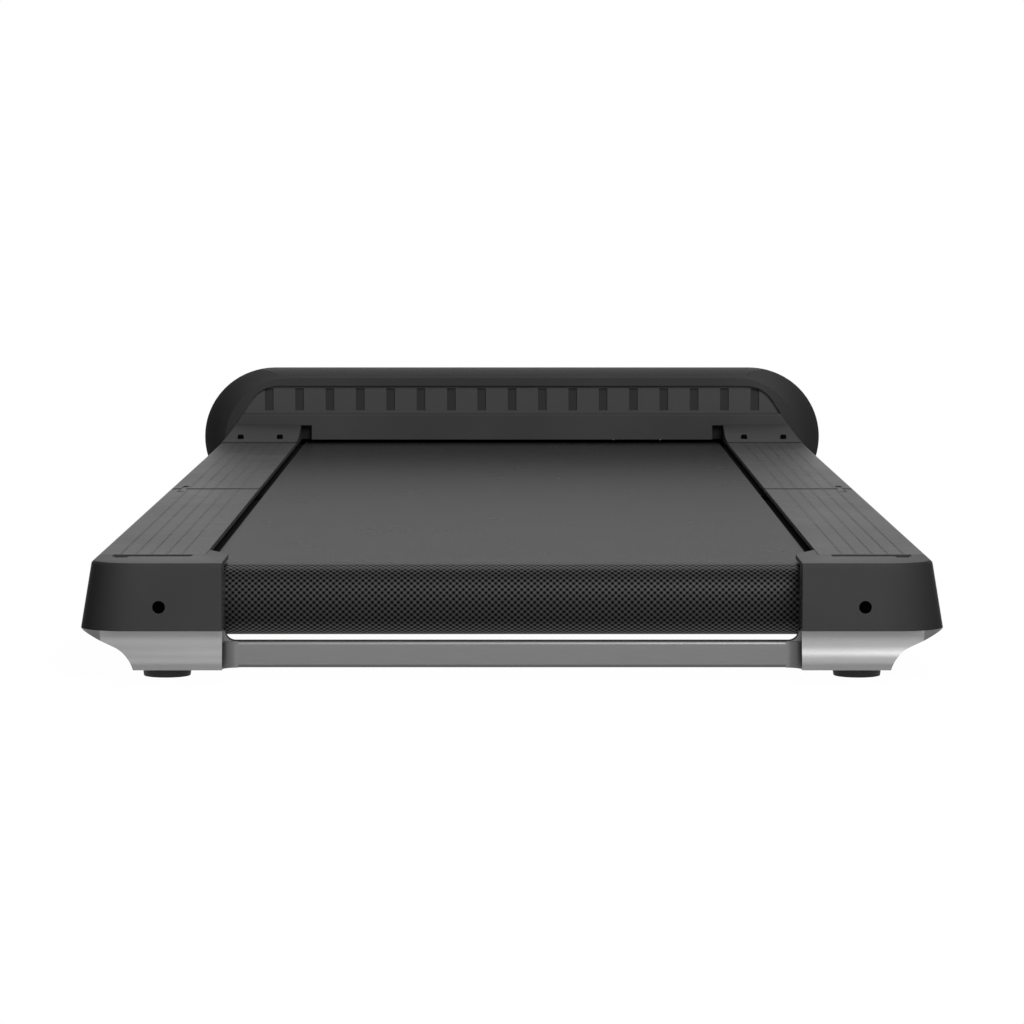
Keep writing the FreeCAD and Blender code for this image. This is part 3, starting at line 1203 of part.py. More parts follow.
def motor_and_drive():
    keep(block("mount_plate", ("-tube_outer_reach", "tube_outer_reach"), ("mount_rear", "mount_front"),
               ("mount_bottom", "mount_top")))
    centre = ("motor_axis", "motor_height")
    can = rod("motor_can", "x", "motor_radius", centre, "-motor_outer_reach", "-motor_inner_reach")
    nose = rod("motor_nose", "x", "motor_nose_radius", centre, "-motor_outer_reach - motor_nose_length",
               "-motor_inner_reach")
    room = rod("motor_room", "x", "motor_radius - motor_wall", centre, "-bell_outer_reach",
               "-bell_inner_reach")
    shaft_bore = rod("motor_shaft_bore", "x", "shaft_radius + running_fit", centre,
                     "-motor_outer_reach - cut_overrun", "-motor_inner_reach")
    keep(cut("motor_body", fuse("motor_solid", [can, nose]), [room, shaft_bore]))
    core = rod("armature_core", "x", "motor_radius - motor_wall - armature_gap", centre,
               "-bell_outer_reach + armature_end_gap", "-bell_inner_reach - armature_end_gap")
    core_bore = rod("armature_bore", "x", "shaft_radius + running_fit", centre,
                    "-motor_outer_reach", "-motor_inner_reach")
    keep(cut("motor_armature", core, [core_bore]))
    saddle = block("motor_saddle", ("-cradle_outer_reach", "-cradle_inner_reach"),
                   ("motor_axis - cradle_half_depth", "motor_axis + cradle_half_depth"),
                   ("mount_top", "cradle_top"))
    seat = rod("motor_seat", "x", "motor_radius + running_fit", centre,
               "-cradle_outer_reach - cut_overrun", "cut_overrun - cradle_inner_reach")
    keep(cut("motor_cradle", saddle, [seat]))
    keep(rod("motor_shaft", "x", "shaft_radius", centre, "-pulley_outer_reach",
             "-motor_inner_reach - seat_gap"))
    keep(pulley("motor_pulley", centre, "motor_pulley_radius", "shaft_radius + running_fit"))
    roller_centre = ("front_axis", "axis_height")
    keep(pulley("front_roller_pulley", roller_centre, "roller_pulley_radius",
                "axle_radius + 2 * running_fit"))
    loops = []
    for extra in ("seat_gap + drive_belt_thickness", "seat_gap"):
        loops.append((("front_axis", "axis_height", f"roller_pulley_radius + {extra}"),
                      ("motor_axis", "motor_height", f"motor_pulley_radius + {extra}")))
    keep(looped("drive_belt", "YZ", "-drive_outer_reach", "-drive_inner_reach", *loops))


def pulley(name, centre, radius, bore):
    """Flanged pulley on the left-hand side."""
    rim = rod(name + "_rim", "x", radius, centre, "-pulley_outer_reach", "-pulley_inner_reach")
    flanges = [rod(f"{name}_flange_{side}", "x", f"{radius} + pulley_flange", centre, low,
                   f"{low} + pulley_flange")
               for side, low in (("outer", "-pulley_outer_reach"),
                                 ("inner", "-pulley_inner_reach - pulley_flange"))]
    hole = rod(name + "_bore", "x", bore, centre, "-pulley_outer_reach - cut_overrun",
               "cut_overrun - pulley_inner_reach")
    return cut(name, fuse(name + "_solid", [rim, *flanges]), [hole])


def controller():
    board = block("controller_plate", ("board_inner_reach", "board_outer_reach"),
                  ("board_rear", "board_front"), ("board_height", "board_top"))
    posts = [rod(f"board_post_{i}", "z", "board_post_radius", (x, y), "mount_top", "board_height")
             for i, (x, y) in enumerate((x, y)
                                        for x in ("board_inner_reach + board_post_margin",
                                                  "board_outer_reach - board_post_margin")
                                        for y in ("board_rear + board_post_margin",
                                                  "board_front - board_post_margin"))]
    keep(fuse("controller_board", [board, *posts]))
    body = outlined("controller_heat_sink", "XZ", "sink_rear", "sink_rear + sink_depth", (
        ("sink_inner", "board_top"),
        ("sink_inner + sink_length", "board_top"),
        ("sink_inner + sink_length", "board_top + sink_height"),
        ("sink_inner", "board_top + sink_height"),
    ))
    gap = (
        ("sink_inner + fin_thickness", "board_top + sink_base"),
        ("sink_inner + fin_step", "board_top + sink_base"),
        ("sink_inner + fin_step", "board_top + sink_height + cut_overrun"),
        ("sink_inner + fin_thickness", "board_top + sink_height + cut_overrun"),
    )
    pocket_row(body, "sink_gap", "XZ", "-(sink_rear + sink_depth)", None, gap, "X",
               "fin_step", "(fin_count - 1)")
    keep(body)


def power_entry():
    """Mains inlet and rocker switch in the hood's nose."""
    x = across("inlet_reach", "inlet_width", "0")
    z = across("inlet_height", "inlet_tall", "0")
    case = block("inlet_case", x, ("inlet_rear", "front_end"), z)
    well = block("inlet_well", (f"{x[0]} + inlet_wall", f"{x[1]} - inlet_wall"),
                 ("inlet_rear + inlet_wall", "front_end + cut_overrun"),
                 (f"{z[0]} + inlet_wall", f"{z[1]} - inlet_wall"))
    blades = []
    for side, middle, rise in (("left", "inlet_reach - blade_spacing", "0"),
                               ("middle", "inlet_reach", "blade_rise"),
                               ("right", "inlet_reach + blade_spacing", "0")):
        blades.append(block(f"inlet_blade_{side}", across(middle, "blade_thickness", "0"),
                            ("inlet_rear", "inlet_rear + inlet_wall + blade_length"),
                            across(f"inlet_height + {rise}", "blade_width", "0")))
    keep(fuse("power_inlet", [cut("inlet_shell", case, [well]), *blades]))

    x = across("switch_reach", "switch_width", "0")
    frame = block("switch_case", x, ("switch_rear", "front_end"), z)
    opening = block("switch_opening", (f"{x[0]} + switch_wall", f"{x[1]} - switch_wall"),
                    ("switch_rear + switch_wall", "front_end + cut_overrun"),
                    (f"{z[0]} + switch_wall", f"{z[1]} - switch_wall"))
    pin = rod("rocker_pin", "x", "rocker_pin_radius", ("rocker_axis", "inlet_height"), *x)
    keep(fuse("switch_frame", [cut("switch_shell", frame, [opening]), pin]))
    face = rod("rocker_face", "x", "rocker_radius", ("rocker_axis", "inlet_height"),
               f"{x[0]} + switch_wall + rocker_gap", f"{x[1]} - switch_wall - rocker_gap")
    bounds = block("rocker_bounds", x, ("rocker_axis - 2 * rocker_pin_radius", "front_end"),
                   (f"{z[0]} + switch_wall + 3 * rocker_gap", f"{z[1]} - switch_wall - 3 * rocker_gap"))
    hole = rod("rocker_hole", "x", "rocker_pin_radius + running_fit", ("rocker_axis", "inlet_height"), *x)
    keep(cut("power_rocker", common("rocker_solid", face, bounds), [hole]))


def transport_wheels():
    centre = ("wheel_axis", "wheel_height")
    low = "wheel_reach - wheel_width / 2"
    high = "wheel_reach + wheel_width / 2"
    tyre = rod("wheel_tyre", "x", "wheel_radius", centre, low, high)
    groove_outer = rod("wheel_groove_outer", "x", "wheel_radius + cut_overrun", centre,
                       "wheel_reach - wheel_groove / 2", "wheel_reach + wheel_groove / 2")
    groove_inner = rod("wheel_groove_inner", "x", "wheel_radius - wheel_groove", centre, low, high)
    groove = cut("wheel_groove_ring", groove_outer, [groove_inner])
    bore = rod("wheel_bore", "x", "wheel_axle_radius + running_fit", centre,
               f"{low} - cut_overrun", f"{high} + cut_overrun")
    keep_pair(cut("transport_wheel_right", tyre, [groove, bore]))
    axle = rod("wheel_axle", "x", "wheel_axle_radius", centre, "fork_inner", "fork_outer")
    keep(both_sides("wheel_axles", axle))
    plates = []
    for side, inner in (("inner", "fork_inner"), ("outer", "fork_outer - fork_thickness")):
        plate = block(f"fork_plate_{side}", (inner, f"{inner} + fork_thickness"),
                      ("mount_front", "wheel_axis + fork_half_height"),
                      ("wheel_height - fork_half_height", "wheel_height + fork_half_height"))
        hole = rod(f"fork_hole_{side}", "x", "wheel_axle_radius + running_fit", centre,
                   f"{inner} - cut_overrun", f"{inner} + fork_thickness + cut_overrun")
        fork = cut(f"fork_{side}", plate, [hole])
        plates += [fork, mirror(f"fork_{side}_twin", fork)]
    keep(group("wheel_forks", plates))


def build():
    side_tubes()
    deck_half("front", "front_deck_low", "front_deck_high")
    deck_half("rear", "rear_deck_low", "rear_deck_high")
    rail_covers()
    fold_pins("fold_pins_front", "front_pin")
    fold_pins("fold_pins_rear", "rear_pin")
    fold_links()
    walking_belt()
    rollers()
    tension_bolts()
    rear_caps()
    rear_brackets()
    lift_bar()
    feet()
    hood()
    vent_panel()
    rear_band()
    display_board()
    motor_and_drive()
    controller()
    power_entry()
    transport_wheels()
    doc.recompute()


def check():
    failed = [item.Label for item in doc.Objects if {"Invalid", "Error"} & set(item.State)]
    failed += [item.Label for item in nodes if item.Shape.isNull() or not item.Shape.isValid()]
    if failed:
        raise RuntimeError("failed: " + ", ".join(failed))


def export():
    os.makedirs("parts", exist_ok=True)
    for item in nodes:
        item.Shape.exportStep(f"parts/{item.Label}.step")
        print(f"{item.Label}: {len(item.Shape.Solids)} solids, {item.Shape.Volume / 1000:.1f} cm3")
    print(len(nodes), "nodes")


build()
check()
export()
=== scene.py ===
# %% [markdown]
# # A folding walking pad
#
# The pad is a low, long machine: a belt between two grooved foot rails, a rounded motor hood at the far
# end, and a tail that stands on two cast brackets with a bar between them to lift it by. The solids come
# from the CAD model, already in place and in metres, so this lesson is about what Blender adds: camera,
# light, finishes, softened edges and the textured belt.

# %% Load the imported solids
import json
import math

import bmesh
import bpy
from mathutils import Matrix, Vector

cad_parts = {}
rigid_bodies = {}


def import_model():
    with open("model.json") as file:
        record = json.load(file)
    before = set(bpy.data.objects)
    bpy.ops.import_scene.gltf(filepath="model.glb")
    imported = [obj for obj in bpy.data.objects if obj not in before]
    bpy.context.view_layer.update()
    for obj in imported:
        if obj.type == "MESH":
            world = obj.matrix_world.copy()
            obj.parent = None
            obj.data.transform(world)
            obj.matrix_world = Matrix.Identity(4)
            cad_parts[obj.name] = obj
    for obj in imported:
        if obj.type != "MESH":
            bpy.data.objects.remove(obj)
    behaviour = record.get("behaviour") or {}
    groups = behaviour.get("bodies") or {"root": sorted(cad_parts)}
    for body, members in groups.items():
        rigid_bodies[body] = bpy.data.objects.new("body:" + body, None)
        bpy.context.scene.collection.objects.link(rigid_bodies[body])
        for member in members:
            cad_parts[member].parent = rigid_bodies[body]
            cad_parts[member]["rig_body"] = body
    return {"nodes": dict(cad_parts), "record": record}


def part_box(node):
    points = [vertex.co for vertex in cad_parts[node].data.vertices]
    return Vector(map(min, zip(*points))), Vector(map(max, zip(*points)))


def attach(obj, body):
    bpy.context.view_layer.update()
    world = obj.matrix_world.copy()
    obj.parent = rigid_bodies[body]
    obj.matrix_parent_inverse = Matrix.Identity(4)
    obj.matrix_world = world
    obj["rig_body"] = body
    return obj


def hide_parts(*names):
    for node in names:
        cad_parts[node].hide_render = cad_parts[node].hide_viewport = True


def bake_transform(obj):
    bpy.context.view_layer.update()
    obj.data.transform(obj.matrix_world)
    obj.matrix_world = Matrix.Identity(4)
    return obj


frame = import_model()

nodes = frame["nodes"]
slot_of = {row["node"]: row["material_slot"] for row in frame["record"]["subparts"]}
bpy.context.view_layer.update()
for stray in ("Cube", "Light", "Camera"):
    if stray in bpy.data.objects:
        bpy.data.objects.remove(bpy.data.objects[stray])

# %% [markdown]
# ## Camera
#
# The photograph looks along the belt from behind the tail, a little above it, and the rails narrow only
# gently towards the hood, so the lens is long and stands about two and a half metres off. A short lens
# close up could frame the same width, but the hood would then look far too small.

# %% Place the camera
LENS = 146.3
LOOK_DOWN = 4.56
EYE = (0.0, -3.176, 0.298)

lens = bpy.data.cameras.new("camera")
lens.lens = LENS
camera = bpy.data.objects.new("camera", lens)
camera.location = EYE
camera.rotation_euler = (math.radians(90 - LOOK_DOWN), 0, 0)
bpy.context.scene.collection.objects.link(camera)
bpy.context.scene.camera = camera
bpy.context.scene.view_settings.view_transform = "Standard"
print("camera at", EYE, "with a", LENS, "mm lens")

# %% [markdown]
# ## A way to write shaders
#
# Finishes are sums and products of noise, stripes and masks, which is easier to read as arithmetic than
# as a drawing of boxes. `Wire` wraps a socket, so that `1 - mask` adds a Math node, and `Wiring.node`
# adds any other node from its type, its settings and what goes into its sockets.

# %% Shader arithmetic
class Wire:
    """A socket that can be used in sums. Every operation adds a Math node."""

    def __init__(self, wiring, socket):
        self.wiring = wiring
        self.socket = socket

    def math(self, operation, *others, clip=False):
        return self.wiring.node("ShaderNodeMath", {"operation": operation, "use_clamp": clip},
                                dict(enumerate((self, *others))))

    def __add__(self, other):
        return self.math("ADD", other)

    def __sub__(self, other):
        return self.math("SUBTRACT", other)

    def __mul__(self, other):
        return self.math("MULTIPLY", other)

    def __rsub__(self, other):
        return (self * -1) + other

    __radd__ = __add__
    __rmul__ = __mul__

    def cosine(self):
        return self.math("COSINE")

    def absolute(self):
        return self.math("ABSOLUTE")

    def clipped(self):
        return self.math("ADD", 0.0, clip=True)

    def between(self, low, high):
        """0 below low, 1 above high, with a soft step from one to the other."""
        return self.wiring.node("ShaderNodeMapRange", {"interpolation_type": "SMOOTHSTEP"},
                                {"Value": self, "From Min": low, "From Max": high})


class Wiring:
    """A node tree that grows through one method."""

    def __init__(self, tree):
        self.tree = tree

    def node(self, kind, settings=None, inputs=None, output=0):
        made = self.tree.nodes.new(kind)
        for name, setting in (settings or {}).items():
            setattr(made, name, setting)
        for key, source in (inputs or {}).items():
            if isinstance(source, Wire):
                self.tree.links.new(source.socket, made.inputs[key])
            else:
                made.inputs[key].default_value = source
        return Wire(self, made.outputs[output])

    def mix(self, share, first, second):
        """Colour that goes from the first to the second as share goes from 0 to 1."""
        return self.node("ShaderNodeMix", {"data_type": "RGBA"}, {0: share, 6: first, 7: second}, 2)

    def noise(self, place, size, detail=2.0):
        """Soft noise from 0 to 1 whose patches are about the given size, in metres."""
        return self.node("ShaderNodeTexNoise", None,
                         {"Vector": place, "Scale": 1 / size, "Detail": detail}, "Fac")

    def vector(self, operation, first, *second, output=0):
        """Vector arithmetic, which keeps all three coordinates."""
        return self.node("ShaderNodeVectorMath", {"operation": operation},
                         dict(enumerate((first, *second))), output)

    def part(self, vector, axis):
        """One coordinate of a vector."""
        return self.node("ShaderNodeSeparateXYZ", None, {0: vector}, axis)

    def seen_white(self):
        """1 for what the camera, a reflection or glass sees directly, and 0 for light on a surface."""
        rays = ("Is Camera Ray", "Is Glossy Ray", "Is Transmission Ray")
        first, second, third = (self.node("ShaderNodeLightPath", output=ray) for ray in rays)
        return (first + second + third).clipped()


class Finish(Wiring):
    """A material with one Principled shader. Constants are set on its sockets directly."""

    def __init__(self, name, **constants):
        self.material = bpy.data.materials.new(name)
        self.material.use_nodes = True
        super().__init__(self.material.node_tree)
        self.shader = self.tree.nodes["Principled BSDF"]
        for words, constant in constants.items():
            self.shader.inputs[words.replace("_", " ")].default_value = constant
        self.place = self.node("ShaderNodeTexCoord", output="Object")

    def feed(self, socket, wire):
        self.tree.links.new(wire.socket, self.shader.inputs[socket])

    def bump(self, height, depth):
        """Bumps of a real depth, in metres, on the shader's normal."""
        self.feed("Normal", self.node("ShaderNodeBump", None,
                                      {"Height": height, "Distance": depth, "Strength": 1.0}))


def grey(level):
    return (level, level, level, 1.0)


print("shader helpers ready")

# %% [markdown]
# ## Light
#
# The pad is photographed on plain white. Its tops and its rear faces are about equally bright and its
# sides are dark, so the main light is a large soft box behind the viewer, half way up, a little to the
# right. A low panel behind the viewer shows as a lighter band on the curve of the belt, and a softer
# box beyond the hood lights the side that the photograph doesn't show. The white is only what the
# camera and reflections see: the light that falls on the pad comes from the lamps and from a modest
# even glow, so the blacks stay black. Near the pad the floor keeps a trace of its shadow, which fades
# out further away.

# %% World and floor
GLOW = 0.08
FLOOR_REACH = 12.0
FLOOR_DROP = 0.0005
FLOOR_WHITE = 0.985
SHADOW_FADE = (0.9, 1.5)

world = bpy.data.worlds.new("studio")
world.use_nodes = True
bpy.context.scene.world = world
sky = Wiring(world.node_tree)
even = sky.node("ShaderNodeBackground", None, {"Color": grey(1.0), "Strength": GLOW})
white = sky.node("ShaderNodeBackground", None, {"Color": grey(1.0), "Strength": 1.0})
seen = sky.node("ShaderNodeMixShader", None, {0: sky.seen_white(), 1: even, 2: white})
sky.tree.links.new(seen.socket, sky.tree.nodes["World Output"].inputs["Surface"])

sheet = bmesh.new()
bmesh.ops.create_grid(sheet, x_segments=1, y_segments=1, size=FLOOR_REACH)
floor_mesh = bpy.data.meshes.new("floor")
sheet.to_mesh(floor_mesh)
sheet.free()
floor = bpy.data.objects.new("floor", floor_mesh)
floor.location.z = -FLOOR_DROP
bpy.context.scene.collection.objects.link(floor)

paper = Finish("white_paper", Roughness=0.9, Base_Color=grey(0.8))
glowing = paper.node("ShaderNodeEmission", None, {"Color": grey(1.0), "Strength": 1.0})
away = paper.vector("LENGTH", paper.place, output="Value").between(*SHADOW_FADE)
share = paper.seen_white() * (away * (1 - FLOOR_WHITE) + FLOOR_WHITE)
shown = paper.node("ShaderNodeMixShader", None,
                   {0: share, 1: Wire(paper, paper.shader.outputs[0]), 2: glowing})
paper.tree.links.new(shown.socket, paper.tree.nodes["Material Output"].inputs["Surface"])
floor_mesh.materials.append(paper.material)
print("white world, and a floor", 2 * FLOOR_REACH, "m across")

# %% [markdown]
# Each lamp is a rectangle that is aimed at a point on the pad.

# %% Lamps
LAMPS = (
    # name, place, aim, width, height, watts
    ("key_softbox", (1.2, -3.1, 2.7), (0.0, 0.0, 0.05), 1.7, 1.8, 190.0),
    ("horizon_panel", (0.0, -4.6, 0.55), (0.0, -0.7, 0.05), 3.2, 1.0, 42.0),
    ("overhead_softbox", (0.0, 0.1, 2.5), (0.0, 0.0, 0.0), 2.6, 3.2, 8.0),
    ("front_softbox", (0.0, 2.3, 3.3), (0.0, 0.6, 0.05), 1.6, 1.6, 80.0),
)

for name, place, aim, width, height, watts in LAMPS:
    lamp = bpy.data.lights.new(name, "AREA")
    lamp.shape = "RECTANGLE"
    lamp.size = width
    lamp.size_y = height
    lamp.energy = watts
    holder = bpy.data.objects.new(name, lamp)
    holder.location = place
    holder.rotation_euler = (Vector(aim) - Vector(place)).to_track_quat("-Z", "Y").to_euler()
    bpy.context.scene.collection.objects.link(holder)
print(len(LAMPS), "lamps")

# %% [markdown]
# ## Finishes
#
# Nearly everything in view is black or dark grey, so the finishes differ by gloss and grain more than by
# colour. Moulded plastic has a fine spark-eroded grain and, where hands and feet go, slightly polished
# patches. Both come from noise at real sizes: under a millimetre for the grain, a hand's breadth for
# the polish. Masks then paint shade into the colour where the pad lies deep or turns away from the
# light: the hood's rounded ends, the outer ends of the caps and the walls of their tool holes, the
# notches in the band, and the slots in the hood.

# %% Moulded plastics
POLISH = 0.09
GRAIN = 0.0007
HOOD_GRAIN = 0.0005
GRAIN_DEPTH = 0.00002


class Moulding(Finish):
    """Moulded plastic that can take painted shade where a mask is 1. Without a grain it is smooth."""

    def __init__(self, name, level, roughness, index, grain=GRAIN):
        super().__init__(name, IOR=index)
        patches = self.noise(self.place, POLISH, 3.0)
        gloss = patches * 0.12 + (roughness - 0.06)
        if grain:
            pores = self.noise(self.place, grain, 1.0)
            gloss = gloss + (pores * 0.06 - 0.03)
            self.bump(pores, GRAIN_DEPTH)
        self.feed("Roughness", gloss)
        self.colour(self.mix(patches, grey(level * 0.8), grey(level * 1.2)))

    def colour(self, wire):
        self.shade = wire
        self.feed("Base Color", wire)

    # Painted shade: the colour goes to a darker level where the mask is 1.
    def darken(self, mask, level):
        self.colour(self.mix(mask, self.shade, grey(level)))


rail_plastic = Moulding("rail_plastic", 0.037, 0.27, 1.031).material
inner_plastic = Moulding("inner_plastic", 0.03, 0.5, 1.2).material
print("plain plastics:", rail_plastic.name, inner_plastic.name)

# %% [markdown]
# The masks of painted shade are measured from the solids' own boxes, so they stay in place when the pad
# is resized. The hood and the caps are the same on both sides, which the absolute value of a coordinate
# gives.

# %% Plastics with painted shade
# Where the painted shade lies, in metres.
HOOD_END = (0.062, 0.010)
NOTCH_DEPTH = (0.0085, 0.0045)
LEDGE_DEPTH = (0.004, 0.003)
SLOT_DEPTH = (0.0003, 0.0009)
CAP_END = 0.042
TOOL_HOLE = 0.0037
HOLE_EDGE = 0.0002


def domed_plastic():
    finish = Moulding("hood_plastic", 0.036, 0.62, 1.01, HOOD_GRAIN)
    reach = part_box("hood_upper_shell")[1].x
    side = finish.part(finish.place, "X").absolute()
    # Painted shade: the hood's rounded ends get darker towards its sides, where they turn away from the
    # light.
    finish.darken(side.between(reach - HOOD_END[0], reach - HOOD_END[1]), 0.021)
    return finish.material


def notched_plastic():
    """The band over the belt: painted shade makes its notches and its underside darker than its face."""
    finish = Moulding("band_plastic", 0.041, 0.5, 1.02)
    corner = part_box("hood_rear_band")[1]
    notch_shade = finish.part(finish.place, "Y").between(*(corner.y - depth for depth in NOTCH_DEPTH))
    ledge = finish.part(finish.place, "Z").between(*(corner.z - depth for depth in LEDGE_DEPTH))
    # Painted shade in the notches and under the band, everywhere except the ledge.
    finish.darken(notch_shade * (1 - ledge), 0.013)
    return finish.material


def holed_plastic():
    finish = Moulding("cap_plastic", 0.030, 0.27, 1.027, grain=None)
    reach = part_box("rear_cap_right")[1].x
    low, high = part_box("tension_bolt_right")
    hole = ((low.x + high.x) / 2, 0.0, (low.z + high.z) / 2)
    sides = finish.vector("ABSOLUTE", finish.place)
    flat = finish.vector("MULTIPLY", sides, (1.0, 0.0, 1.0))
    away = finish.vector("DISTANCE", flat, hole, output="Value")
    # Painted shade on the caps' outer ends, which turn away from the light.
    finish.darken(finish.part(sides, "X").between(reach - CAP_END, reach), 0.0135)
    # Painted shade: the walls of the tool holes are painted black, as deep shadow.
    finish.darken(1 - away.between(TOOL_HOLE, TOOL_HOLE + HOLE_EDGE), 0.0)
    return finish.material


def vented_plastic():
    """The slotted panel, which nobody touches, has grain and no polish, and painted shade in its slots.
    """
    finish = Finish("panel_plastic", IOR=1.05)
    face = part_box("hood_vent_panel")[0].y
    # Painted shade: what lies deeper than the panel's face, in the slots, is darker.
    deep = finish.part(finish.place, "Y").between(*(face + depth for depth in SLOT_DEPTH))
    pores = finish.noise(finish.place, GRAIN, 1.0)
    plain = finish.mix(pores, grey(0.0468), grey(0.0572))
    finish.feed("Base Color", finish.mix(deep, plain, grey(0.028)))
    finish.feed("Roughness", pores * 0.1 + 0.5)
    finish.bump(pores, GRAIN_DEPTH)
    return finish.material


hood_plastic = domed_plastic()
band_plastic = notched_plastic()
cap_plastic = holed_plastic()
panel_plastic = vented_plastic()
print("darkened:", hood_plastic.name, band_plastic.name, cap_plastic.name, panel_plastic.name)

# %% [markdown]
# The display strip is a smooth tinted cover. It has no grain, only the faint waviness of a moulded
# window and a little dust, so it is smoother than the hood around it.

# %% Display cover
def tinted_cover():
    finish = Finish("tinted_cover", IOR=1.015, Coat_Roughness=0.3, Coat_IOR=1.015)
    waves = finish.noise(finish.place, 0.03)
    dust = finish.noise(finish.place, 0.0012, 4.0).between(0.62, 0.75)
    finish.feed("Base Color", finish.mix(dust, grey(0.034), grey(0.044)))
    finish.feed("Roughness", waves * 0.06 + dust * 0.1 + 0.35)
    finish.feed("Coat Weight", waves * 0.2 + 0.3)
    finish.bump(waves, 0.00004)
    return finish.material


display_gloss = tinted_cover()
print("display:", display_gloss.name)

# %% [markdown]
# The brackets are cast and bead-blasted, and the bar is a darker, finely brushed extrusion. A casting
# has no direction, so its grain is plain noise. The bar's marks run along it: the noise is stretched by
# making the long axis count for less before it is looked up.

# %% Metals
ALONG_X = (0.02, 1.0, 1.0)
ALONG_Y = (1.0, 0.02, 1.0)
NO_WAY = (1.0, 1.0, 1.0)


def satin_casting(name, level, roughness):
    finish = Finish(name, Metallic=1.0)
    beads = finish.noise(finish.place, 0.0006, 3.0)
    clouds = finish.noise(finish.place, 0.04)
    finish.feed("Base Color", finish.mix(clouds, grey(level * 0.9), grey(level * 1.1)))
    finish.feed("Roughness", beads * 0.12 + clouds * 0.06 + (roughness - 0.09))
    finish.bump(beads, 0.00003)
    return finish.material


def brushed_metal(name, level, roughness, along):
    finish = Finish(name, Metallic=1.0)
    marks = finish.noise(finish.vector("MULTIPLY", finish.place, along), 0.0004, 3.0)
    clouds = finish.noise(finish.place, 0.06)
    finish.feed("Base Color", finish.mix(marks, grey(level * 0.85), grey(level * 1.12)))
    finish.feed("Roughness", marks * 0.16 + clouds * 0.06 + (roughness - 0.11))
    finish.bump(marks, 0.00002)
    return finish.material


bracket_metal = satin_casting("bracket_metal", 0.138, 0.41)
bar_metal = brushed_metal("bar_metal", 0.11, 0.42, ALONG_X)
sink_metal = brushed_metal("sink_metal", 0.5, 0.4, ALONG_Y)
turned_steel = brushed_metal("turned_steel", 0.55, 0.28, NO_WAY)
print("metals:", bracket_metal.name, bar_metal.name, sink_metal.name, turned_steel.name)

# %% [markdown]
# Painted steel hides under the covers: tubes, cross members and the motor. Powder paint has a low orange
# peel a few millimetres across. Rubber is a dull black with a little dust on it.

# %% Paint and rubber
def powder_coat(name, level, index):
    finish = Finish(name, IOR=index)
    peel = finish.noise(finish.place, 0.0025)
    clouds = finish.noise(finish.place, 0.08, 3.0)
    finish.feed("Base Color", finish.mix(clouds, grey(level * 0.8), grey(level * 1.2)))
    finish.feed("Roughness", peel * 0.15 + 0.4)
    finish.bump(peel, 0.00006)
    return finish.material


def dusty_rubber(name, level):
    finish = Finish(name, IOR=1.4)
    dust = finish.noise(finish.place, 0.01, 6.0).between(0.5, 0.8)
    pores = finish.noise(finish.place, 0.0009)
    finish.feed("Base Color", finish.mix(dust, grey(level), grey(level * 2.5)))
    finish.feed("Roughness", dust * 0.15 + pores * 0.1 + 0.65)
    finish.bump(pores, 0.00008)
    return finish.material


painted_steel = powder_coat("painted_steel", 0.03, 1.5)
black_oxide = powder_coat("black_oxide", 0.002, 1.02)
foot_rubber = dusty_rubber("foot_rubber", 0.012)
print("paint and rubber:", painted_steel.name, black_oxide.name, foot_rubber.name)

# %% [markdown]
# The deck is pressed board under a black film, through which its fibres just show. The circuit boards
# have green lacquer over a net of copper tracks, which a cell pattern's edges stand for.

# %% Deck board and circuit
TRACKS_PER_METRE = 220.0


def filmed_board():
    finish = Finish("deck_board", IOR=1.02)
    fibres = finish.noise(finish.place, 0.0015, 5.0)
    flakes = finish.noise(finish.place, 0.02, 3.0)
    finish.feed("Base Color", finish.mix(fibres, grey(0.003), (0.007, 0.006, 0.005, 1.0)))
    finish.feed("Roughness", fibres * 0.2 + flakes * 0.1 + 0.6)
    finish.bump(fibres, 0.00004)
    return finish.material


def printed_circuit():
    finish = Finish("circuit", IOR=1.5)
    cells = finish.node("ShaderNodeTexVoronoi", {"feature": "DISTANCE_TO_EDGE"},
                        {"Vector": finish.place, "Scale": TRACKS_PER_METRE}, "Distance")
    track = 1 - cells.between(0.05, 0.09)
    clouds = finish.noise(finish.place, 0.02)
    lacquer = finish.mix(clouds, (0.008, 0.06, 0.02, 1.0), (0.012, 0.085, 0.03, 1.0))
    finish.feed("Base Color", finish.mix(track * 0.6, lacquer, (0.04, 0.19, 0.07, 1.0)))
    finish.feed("Roughness", clouds * 0.1 + 0.3)
    finish.bump(track, 0.00003)
    return finish.material


deck_board = filmed_board()
circuit = printed_circuit()
print("boards:", deck_board.name, circuit.name)

# %% [markdown]
# ## Softened copies of the solids
#
# A CAD edge is perfectly sharp, and no moulding or casting is. A copy of each visible solid is merged,
# because its triangles are loose, its flat triangles are joined into whole faces, and its sharp edges
# get a small round. The copy takes the solid's place on the same body. Each piece has its own radius,
# and 0 leaves the shape alone and only evens out its shading.

# %% Softening
MERGE = 0.000005
FLAT = math.radians(0.4)
ROUNDED_ABOVE = math.radians(35)
CREASED_ABOVE = math.radians(38)
ROUND_STEPS = 2


def finished(form, name, material):
    """An object at the origin from a bmesh, smooth except at real creases."""
    mesh = bpy.data.meshes.new(name)
    form.to_mesh(mesh)
    form.free()
    mesh.shade_smooth()
    mesh.set_sharp_from_angle(angle=CREASED_ABOVE)
    mesh.materials.append(material)
    piece = bpy.data.objects.new(name, mesh)
    bpy.context.scene.collection.objects.link(piece)
    return piece


def merged(node):
    """A bmesh copy of a CAD node with its triangles joined."""
    form = bmesh.new()
    form.from_mesh(nodes[node].data)
    bmesh.ops.remove_doubles(form, verts=form.verts, dist=MERGE)
    bmesh.ops.dissolve_limit(form, angle_limit=FLAT, verts=form.verts, edges=form.edges)
    return form


